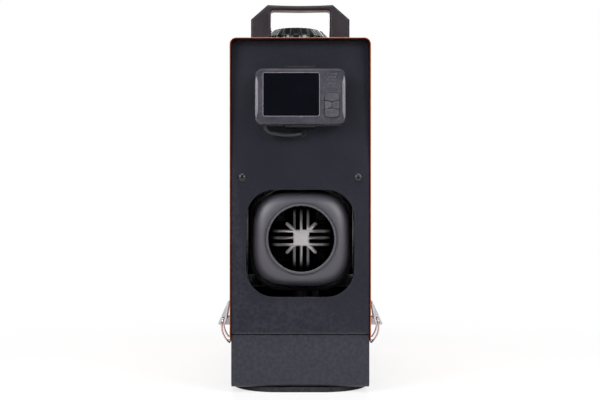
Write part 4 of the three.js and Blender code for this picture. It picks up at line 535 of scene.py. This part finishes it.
def grown(name, points, edges, tree, material, values, smooth_under=35):
    """A plain mesh that the tree grows from these points."""
    mesh = bpy.data.meshes.new(name)
    mesh.from_pydata([tuple(p) for p in points], edges, [])
    piece = as_object(name, mesh, material)
    growth = piece.modifiers.new("growth", "NODES")
    growth.node_group = tree
    sockets = {s.name: s.identifier for s in tree.interface.items_tree if s.in_out == "INPUT"}
    growth[sockets["Material"]] = material
    for label, value in values.items():
        growth[sockets[label]] = value
    piece = settled(piece)
    piece.data.shade_smooth()
    piece.data.set_sharp_from_angle(angle=math.radians(smooth_under))
    return piece


def numbers(tree, *parts):
    return put(tree, "ShaderNodeCombineXYZ", [(i, p) for i, p in enumerate(parts)]).outputs[0]


button, given, end = tree_with("button_heads", [
    ("Head Radius", "Float", 0.0045), ("Head Height", "Float", 0.0024), ("Socket Radius", "Float", 0.0017),
    ("Rotation", "Vector", None), ("Material", "Material", None)])
ball = put(button, "GeometryNodeMeshUVSphere", [("Segments", 40), ("Rings", 20), ("Radius", 1.0)])
squat = put(button, "GeometryNodeTransform", [
    ("Geometry", ball.outputs[0]),
    ("Scale", numbers(button, given["Head Radius"], given["Head Radius"], given["Head Height"]))])
upper = put(button, "GeometryNodeMeshCube", [("Size", numbers(button, 0.03, 0.03, 0.02))])
raised = put(button, "GeometryNodeTransform",
             [("Geometry", upper.outputs[0]), ("Translation", (0, 0, 0.01))])
dome = put(button, "GeometryNodeMeshBoolean", [("Mesh 2", squat.outputs[0])], operation="INTERSECT")
button.links.new(raised.outputs[0], dome.inputs["Mesh 2"])
hexagon = put(button, "GeometryNodeMeshCylinder",
              [("Vertices", 6), ("Radius", given["Socket Radius"]), ("Depth", 0.003)])
sunk = put(button, "GeometryNodeTransform", [("Geometry", hexagon.outputs[0]),
                                             ("Translation",
                                              numbers(button, 0.0, 0.0, given["Head Height"]))])
head = put(button, "GeometryNodeMeshBoolean", [("Mesh 1", dome.outputs[0]), ("Mesh 2", sunk.outputs[0])],
           operation="DIFFERENCE")
placed = put(button, "GeometryNodeInstanceOnPoints",
             [("Points", given["Geometry"]), ("Instance", head.outputs[0])])
turned = put(button, "FunctionNodeEulerToRotation", [(0, given["Rotation"])])
button.links.new(turned.outputs[0], placed.inputs["Rotation"])
close_tree(button, placed.outputs[0], given, end)

black_steel = finish_of("blackened_steel", (46, 45, 50), (58, 56, 60), (128, 126, 128), (0.22, 0.36), 0.0004,
                        0.006,
                        0.15, 0.00004, metallic=0.6, dusty=0.1, worn=0.6)
screw_seats = []
for node in ("panel_screw_left", "panel_screw_right"):
    low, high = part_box(node)
    screw_seats.append(((low.x + high.x) / 2, low.y + 0.0026, (low.z + high.z) / 2))
screws = grown("panel_screws", screw_seats, [], button, black_steel, {
    "Head Radius": SCREW_HEAD_RADIUS, "Head Height": SCREW_HEAD_HEIGHT, "Socket Radius": SOCKET_RADIUS,
    "Rotation": (math.pi / 2, 0, 0)})
stands_for(screws, "panel_screw_left", "panel_screw_right")

# ---- tank, cap and handle ---------------------------------------------------------------------------
# A blow-moulded fuel tank under the shell's top, its neck sealed by a rubber ring, under a deep ribbed
# screw cap in glossy black plastic; the carrying handle is one moulding, bolted from inside.
tank_plastic = finish_of("tank_plastic", (34, 34, 38), (42, 42, 47), (64, 64, 68), (0.45, 0.6), 0.001, 0.05)
finished("fuel_tank", tank_plastic, 0.0004, sharp=40)
finished("neck_gasket", hose_rubber, 0.0003, sharp=40)
finished("cap_seal", hose_rubber, 0.0003, sharp=40)

CAP_RADIUS = 0.0435
CAP_RIB_HEIGHT = 0.0024
CAP_RIB_RADIUS = 0.0027
CAP_RIBS = 24
CAP_CHAMFER = (0.0115, 0.0103)
CAP_BORE = 0.030
CAP_CEILING = 0.4077
cap_low, cap_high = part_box("fuel_cap")
cap_axis = Vector((-0.0055, 0.054891, 0))


def turned_about(axis, profile, sides=96):
    rings = [
        [axis + Vector((r * math.cos(2 * math.pi * k / sides), r * math.sin(2 * math.pi * k / sides), z))
         for k in range(sides)] for r, z in profile
    ]
    points, faces = loft(rings)
    return points, faces[: (len(rings) - 1) * sides]


barrel = CAP_RADIUS - CAP_RIB_HEIGHT
shoulder_r, shoulder_z = CAP_RADIUS - CAP_CHAMFER[0], cap_high.z - CAP_CHAMFER[1]
cap_profile = [
    (0, CAP_CEILING), (CAP_BORE - 0.001, CAP_CEILING), (CAP_BORE, CAP_CEILING - 0.001),
    (CAP_BORE, cap_low.z + 0.0012),
    (CAP_BORE + 0.0008, cap_low.z), (barrel - 0.0006, cap_low.z), (barrel, cap_low.z + 0.0006),
    (barrel, shoulder_z - 0.0010), (barrel - 0.0003, shoulder_z), (barrel - 0.0010, shoulder_z + 0.0009),
    (shoulder_r + 0.0008, cap_high.z - 0.0010), (shoulder_r, cap_high.z - 0.0003),
    (shoulder_r - 0.0010, cap_high.z),
    (shoulder_r - 0.0045, cap_high.z), (shoulder_r - 0.0052, cap_high.z - 0.0008),
    (0.0150, cap_high.z - 0.0012),
    (0.0060, cap_high.z - 0.0012), (0, cap_high.z - 0.0012),
]
cap_plastic = finish_of("cap_plastic", (14, 13, 16), (18, 17, 20), (84, 82, 88), (0.12, 0.2), 0.0008, 0.03,
                        0.12,
                        0.00006, dusty=0.0, worn=0.1, coat=0.4)
cap_points, cap_faces = turned_about(cap_axis, cap_profile)
cap = as_object("fuel_cap_body", mesh_of("fuel_cap_body", cap_points, cap_faces, 30), cap_plastic)
stands_for(cap, "fuel_cap")

ribbed, given, end = tree_with("cap_ribs", [
    ("Ribs", "Int", 24), ("Rib Radius", "Float", 0.0027), ("Fillet", "Float", 0.002),
    ("Axis", "Vector", None), ("Material", "Material", None)])
spine = put(ribbed, "GeometryNodeMeshToCurve", [("Mesh", given["Geometry"])])
eased_spine = put(ribbed, "GeometryNodeFilletCurve",
                  [("Curve", spine.outputs[0]), ("Radius", given["Fillet"])])
for socket in eased_spine.inputs:
    if socket.name == "Count":
        socket.default_value = 4
if hasattr(eased_spine, "mode"):
    eased_spine.mode = "POLY"
section = put(ribbed, "GeometryNodeCurvePrimitiveCircle",
              [("Resolution", 14), ("Radius", given["Rib Radius"])])
bar = put(ribbed, "GeometryNodeCurveToMesh", [("Curve", eased_spine.outputs[0]),
                                              ("Profile Curve", section.outputs[0]),
                                              ("Fill Caps", True)])
stations = put(ribbed, "GeometryNodeMeshLine", [("Count", given["Ribs"]), ("Offset", (0, 0, 0))])
index = put(ribbed, "GeometryNodeInputIndex")
full_turn = put(ribbed, "ShaderNodeMath", [(0, 2 * math.pi), (1, given["Ribs"])], operation="DIVIDE")
halfway = put(ribbed, "ShaderNodeMath", [(0, index.outputs[0]), (1, 0.5)], operation="ADD")
bearing = put(ribbed, "ShaderNodeMath", [(0, halfway.outputs[0]), (1, full_turn.outputs[0])],
              operation="MULTIPLY")
spread = put(ribbed, "GeometryNodeInstanceOnPoints",
             [("Points", stations.outputs[0]), ("Instance", bar.outputs[0])])
aim = put(ribbed, "FunctionNodeEulerToRotation", [(0, numbers(ribbed, 0.0, 0.0, bearing.outputs[0]))])
ribbed.links.new(aim.outputs[0], spread.inputs["Rotation"])
seated = put(ribbed, "GeometryNodeTransform",
             [("Geometry", spread.outputs[0]), ("Translation", given["Axis"])])
close_tree(ribbed, seated.outputs[0], given, end)
rib_centre = CAP_RADIUS - CAP_RIB_RADIUS
rib_spine = [(rib_centre, 0, cap_low.z + 0.0003), (rib_centre, 0, shoulder_z - 0.0018),
             (shoulder_r + 0.0005, 0, cap_high.z - 0.0030)]
ribs = grown("fuel_cap_ribs", rib_spine, [(0, 1), (1, 2)], ribbed, cap_plastic, {
    "Ribs": CAP_RIBS, "Rib Radius": CAP_RIB_RADIUS, "Fillet": 0.003, "Axis": tuple(cap_axis)})
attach(ribs, "cap")

handle_plastic = finish_of("handle_plastic", (38, 36, 41), (44, 42, 48), (84, 81, 88), (0.34, 0.44), 0.0006,
                           0.03,
                           0.25, 0.0001, dusty=0.04, worn=0.35, specular=0.3)
finished("handle", handle_plastic, 0.0006, sharp=30, segments=3)

# ---- controller -------------------------------------------------------------------------------------
# A thin two-part plastic housing in a clip bracket, with a dark display window, a speaker grille and a
# four-way pad of silicone keys.
PANEL_ORIGIN = Vector((0, -0.1882612, 0.312))
INWARD = Vector((0, 0.9973272, -0.0730643))
UPWARD = Vector((0, 0.0730643, 0.9973272))


def on_panel(x, depth, height):
    """A point beside the leaning panel, in metres along its own directions."""
    return PANEL_ORIGIN + Vector((x, 0, 0)) + INWARD * depth + UPWARD * height


def panel_box(node):
    local = [v.co - PANEL_ORIGIN for v in frame["nodes"][node].data.vertices]
    spans = [[p.x for p in local], [p.dot(INWARD) for p in local], [p.dot(UPWARD) for p in local]]
    return [min(s) for s in spans], [max(s) for s in spans]


controller_plastic = finish_of("controller_plastic", (50, 49, 57), (57, 56, 64), (122, 120, 128), (0.3, 0.4),
                               0.0004,
                               0.02, 0.16, 0.00007, dusty=0.08, worn=0.5, specular=0.35)
clip_plastic = finish_of("clip_plastic", (20, 20, 24), (24, 24, 28), (60, 60, 64), (0.4, 0.5), 0.0005, 0.02,
                         specular=0.25)
finished("controller_bracket", clip_plastic, 0.0003)
finished("controller_back", controller_plastic, 0.0003)
finished("controller_front", controller_plastic, 0.00018, sharp=24)
finished("lead_grommet", hose_rubber, 0, sharp=40)
board_mask = finish_of("board_mask", (26, 84, 50), (22, 72, 43), (150, 140, 90), (0.25, 0.4), 0.0005, 0.004)
finished("controller_board", board_mask, 0)

display = finish_of("display_window", (6, 6, 13), (8, 8, 17), (40, 40, 46), (0.05, 0.09), 0.001, 0.03, 0.02,
                    0.00001,
                    dusty=0.0, worn=0.0, specular=0.3)
finished("controller_screen", display, 0.0002)

# Two rounded bars moulded down the housing's sides and a thin frame round the display, coloured pale as a
# painted highlight of the soft boxes on these rounded edges.
# Painted highlight: this trim's pale colour stands in for soft-box reflections on the controller's bevels
# and rims.
painted_highlight_trim = finish_of("painted_highlight_trim", (116, 113, 122), (108, 105, 114), (150, 148, 156), (0.24, 0.34), 0.0004,
                      0.006,
                      0.1, 0.00004)
BAR_RADIUS = 0.0021
BAR_SPAN = (-0.0236, 0.0220)
housing_low, housing_high = panel_box("controller_front")
bars = []
for x in (housing_low[0] + BAR_RADIUS, housing_high[0] - BAR_RADIUS):
    lengthwise = [BAR_SPAN[0] + (BAR_SPAN[1] - BAR_SPAN[0]) * k / 12 for k in range(13)]
    bar_line = [on_panel(x, housing_low[1] + 0.0018, z) for z in lengthwise]
    swell = [BAR_RADIUS * math.sin(math.radians(min(90, 30 + 30 * min(k, 12 - k)))) for k in range(13)]
    bars.append(tube_along(bar_line, swell, 24))
bar_points = bars[0][0] + bars[1][0]
bar_faces = bars[0][1] + [tuple(k + len(bars[0][0]) for k in face) for face in bars[1][1]]
side_bars = as_object("controller_side_bars", mesh_of("controller_side_bars", bar_points, bar_faces),
                      painted_highlight_trim)
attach(side_bars, "case")

FRAME_WIDTH = 0.0007
screen_low, screen_high = panel_box("controller_screen")


def screen_ring(out, depth, corner=0.0016, steps=6):
    """A rounded rectangle round the display, pushed outwards and to a depth."""
    ring = []
    for quarter, (x, z) in enumerate(((screen_high[0], screen_high[2]), (screen_low[0], screen_high[2]),
                                      (screen_low[0], screen_low[2]), (screen_high[0], screen_low[2]))):
        towards = (-1 if x > screen_low[0] else 1, -1 if z > screen_low[2] else 1)
        for k in range(steps + 1):
            a = math.radians(90 * quarter + 90 * k / steps)
            ring.append(on_panel(x + towards[0] * corner + (corner + out) * math.cos(a), depth,
                                 z + towards[1] * corner + (corner + out) * math.sin(a)))
    return ring


frame_points, frame_faces = loft([
    screen_ring(0, housing_low[1] + 0.0006), screen_ring(0.0001, housing_low[1] - 0.0001),
    screen_ring(FRAME_WIDTH, housing_low[1] - 0.00015),
    screen_ring(FRAME_WIDTH + 0.0001, housing_low[1] + 0.0004)])
display_frame = as_object("display_frame", mesh_of("display_frame", frame_points, frame_faces), painted_highlight_trim)
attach(display_frame, "case")

key_silicone = finish_of("key_silicone", (66, 65, 72), (60, 60, 66), (120, 120, 126), (0.45, 0.6), 0.0004,
                         0.006, 0.3,
                         0.00006, dusty=0.1, worn=0.5, specular=0.3)
key_mark = finish_of("key_mark_ink", (34, 34, 38), (40, 40, 44), (60, 60, 64), (0.4, 0.55), 0.0003, 0.002)
MARK_HEIGHT = 0.00012


def key_marks(node, strokes):
    """Raised marks on a key; strokes are (x0, z0, x1, z1, half width) from the key's middle, in mm."""
    low, high = panel_box(node)
    middle = ((low[0] + high[0]) / 2, (low[2] + high[2]) / 2)
    points, faces = [], []
    for x0, z0, x1, z1, half in strokes:
        along = Vector((x1 - x0, z1 - z0)).normalized() if (x0, z0) != (x1, z1) else Vector((1, 0))
        across = Vector((-along.y, along.x))
        outline = []
        for centre, turn in (((x1, z1), -90), ((x0, z0), 90)):
            for k in range(9):
                a = math.radians(turn + 180 * k / 8)
                outline.append(Vector(centre) + (along * math.cos(a) + across * math.sin(a)) * half)
        start, count = len(points), len(outline)
        for depth in (low[1] - MARK_HEIGHT, low[1] + 0.0002):
            points += [on_panel(middle[0] + p.x / 1000, depth, middle[1] + p.y / 1000) for p in outline]
        faces += [tuple(start + k for k in range(count)), tuple(start + count + k for k in range(count))]
        faces += [(start + k, start + (k + 1) % count, start + count + (k + 1) % count, start + count + k)
                  for k in range(count)]
    mark = as_object(node + "_mark", mesh_of(node + "_mark", points, faces), key_mark)
    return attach(mark, body_for(node))


for node in ("key_up", "key_down", "key_left", "key_right"):
    finished(node, key_silicone, 0.00025, sharp=30, segments=3)
key_marks("key_up", [(-1.5, -0.6, 0, 0.8, 0.28), (0, 0.8, 1.5, -0.6, 0.28)])
key_marks("key_down", [(-1.5, 0, 1.5, 0, 0.28)])
key_marks("key_left", [(-0.4, 0, -0.4, 0, 0.55)])
key_marks("key_right", [(0.4, 0, 0.4, 0, 0.55)])

# The speaker grille's holes, each with a moulded rim, coloured pale as a painted highlight on the rims.
SPEAKER_MIDDLE = (0.0333, 0.0164)
SPEAKER_PITCH = 0.0029
SPEAKER_ROWS = 5
rims, given, end = tree_with("hole_rims", [
    ("Rim Radius", "Float", 0.0007), ("Bead", "Float", 0.00014), ("Rotation", "Vector", None),
    ("Material", "Material", None)])
hoop = put(rims, "GeometryNodeCurvePrimitiveCircle", [("Resolution", 20), ("Radius", given["Rim Radius"])])
bead = put(rims, "GeometryNodeCurvePrimitiveCircle", [("Resolution", 6), ("Radius", given["Bead"])])
rim = put(rims, "GeometryNodeCurveToMesh", [("Curve", hoop.outputs[0]), ("Profile Curve", bead.outputs[0])])
laid_out = put(rims, "GeometryNodeInstanceOnPoints",
               [("Points", given["Geometry"]), ("Instance", rim.outputs[0])])
tilt = put(rims, "FunctionNodeEulerToRotation", [(0, given["Rotation"])])
rims.links.new(tilt.outputs[0], laid_out.inputs["Rotation"])
close_tree(rims, laid_out.outputs[0], given, end)
holes = [
    on_panel(SPEAKER_MIDDLE[0] + (column - (3 - row % 2) / 2) * SPEAKER_PITCH, housing_low[1] + 0.00002,
             SPEAKER_MIDDLE[1] + (row - (SPEAKER_ROWS - 1) / 2) * SPEAKER_PITCH * 1.2)
    for row in range(SPEAKER_ROWS) for column in range(4 - row % 2)
]
grille = grown("speaker_rims", holes, [], rims, painted_highlight_trim, {
    "Rim Radius": 0.00078, "Bead": 0.00014, "Rotation": (math.pi / 2 - math.asin(INWARD.z), 0, 0)})
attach(grille, "case")

# ---- toggle latches ---------------------------------------------------------------------------------
# Pressed zinc-plated steel: a riveted bracket, a tapered lever on a pin, a sprung wire bail and a hooked
# catch plate on the tray, one set on each side.
latch_steel = finish_of("latch_steel", (214, 215, 219), (202, 204, 209), (230, 231, 233), (0.16, 0.28),
                        0.0008, 0.012,
                        0.04, 0.00003, metallic=1.0, dusty=0.1, worn=0.4)
for side in ("left", "right"):
    finished("latch_bracket_" + side, zinc_plate, 0.0002)
    finished("latch_catch_" + side, zinc_plate, 0.0002)
    finished("latch_lever_" + side, latch_steel, 0.00025)
    finished("latch_bail_" + side, latch_steel, 0, sharp=50)

# ---- studio -----------------------------------------------------------------------------------------
# A pale floor that keeps the machine's soft shadow and fades to plain white away from it, with two soft
# boxes before the machine, one overhead and one behind.
SHADOW_REACH = 0.24
WHITE_FROM = 0.6
SHADOW_SHARE = 0.74
floor_mesh = bpy.data.meshes.new("floor")
floor_mesh.from_pydata([(-8, -8, 0), (8, -8, 0), (8, 8, 0), (-8, 8, 0)], [], [(0, 1, 2, 3)])
pale = bpy.data.materials.new("pale_floor")
pale.use_nodes = True
tree = pale.node_tree
tree.nodes["Principled BSDF"].inputs["Base Color"].default_value = (0.86, 0.86, 0.86, 1)
tree.nodes["Principled BSDF"].inputs["Roughness"].default_value = 0.6
rays = put(tree, "ShaderNodeLightPath").outputs
seen = put(tree, "ShaderNodeMath", [(0, rays["Is Camera Ray"]), (1, rays["Is Glossy Ray"])],
           operation="MAXIMUM")
clear = put(tree, "ShaderNodeMath", [(0, seen.outputs[0]), (1, rays["Is Transmission Ray"])],
            operation="MAXIMUM")
away = put(tree, "ShaderNodeVectorMath", [(0, put(tree, "ShaderNodeTexCoord").outputs["Object"])],
           operation="LENGTH")
plain = put(tree, "ShaderNodeMapRange", [(0, away.outputs["Value"]), (1, SHADOW_REACH), (2, WHITE_FROM),
                                         (3, SHADOW_SHARE), (4, 1.0)])
part = put(tree, "ShaderNodeMath", [(0, clear.outputs[0]), (1, plain.outputs[0])], operation="MULTIPLY")
white = put(tree, "ShaderNodeEmission", [("Color", (1, 1, 1, 1)), ("Strength", 1.0)])
mixed = put(tree, "ShaderNodeMixShader", [(0, part.outputs[0]),
                                          (1, tree.nodes["Principled BSDF"].outputs[0]),
                                          (2, white.outputs[0])])
tree.links.new(mixed.outputs[0], tree.nodes["Material Output"].inputs["Surface"])
floor = as_object("floor", floor_mesh, pale)

world = bpy.data.worlds.new("studio")
bpy.context.scene.world = world
world.use_nodes = True
tree = world.node_tree
rays = put(tree, "ShaderNodeLightPath").outputs
bearing = put(tree, "ShaderNodeSeparateXYZ", [(0, put(tree, "ShaderNodeTexCoord").outputs["Generated"])])
rearward = put(tree, "ShaderNodeMapRange", [(0, bearing.outputs["Y"]), (1, 0.25), (2, 0.6)])
shine = put(tree, "ShaderNodeMath", [(0, rays["Is Glossy Ray"]), (1, rearward.outputs[0])],
            operation="MULTIPLY")
seen = put(tree, "ShaderNodeMath", [(0, rays["Is Camera Ray"]), (1, shine.outputs[0])], operation="MAXIMUM")
clear = put(tree, "ShaderNodeMath", [(0, seen.outputs[0]), (1, rays["Is Transmission Ray"])],
            operation="MAXIMUM")
tree.nodes["Background"].inputs["Color"].default_value = (1, 1, 1, 1)
tree.nodes["Background"].inputs["Strength"].default_value = 0.1
backdrop = put(tree, "ShaderNodeBackground", [("Color", (1, 1, 1, 1)), ("Strength", 1.0)])
mixed = put(tree, "ShaderNodeMixShader", [(0, clear.outputs[0]), (1, tree.nodes["Background"].outputs[0]),
                                          (2, backdrop.outputs[0])])
tree.links.new(mixed.outputs[0], tree.nodes["World Output"].inputs["Surface"])


def soft_box(name, place, aim_at, width, height, power):
    lamp = bpy.data.lights.new(name, "AREA")
    lamp.shape = "RECTANGLE"
    lamp.size, lamp.size_y, lamp.energy = width, height, power
    box = bpy.data.objects.new(name, lamp)
    box.location = place
    box.rotation_euler = (Vector(aim_at) - Vector(place)).to_track_quat("-Z", "Y").to_euler()
    bpy.context.collection.objects.link(box)


soft_box("soft_box_left", (-1.05, -1.25, 0.95), (0, -0.15, 0.2), 0.8, 0.8, 16)
soft_box("soft_box_right", (1.05, -1.25, 0.95), (0, -0.15, 0.2), 0.8, 0.8, 15)
soft_box("soft_box_top", (0, -0.5, 1.5), (0, 0, 0.2), 1.2, 0.6, 13)
soft_box("soft_box_rear", (0, 1.5, 1.0), (0, 0.1, 0.25), 1.4, 0.8, 14)
bpy.context.scene.view_settings.view_transform = "Standard"
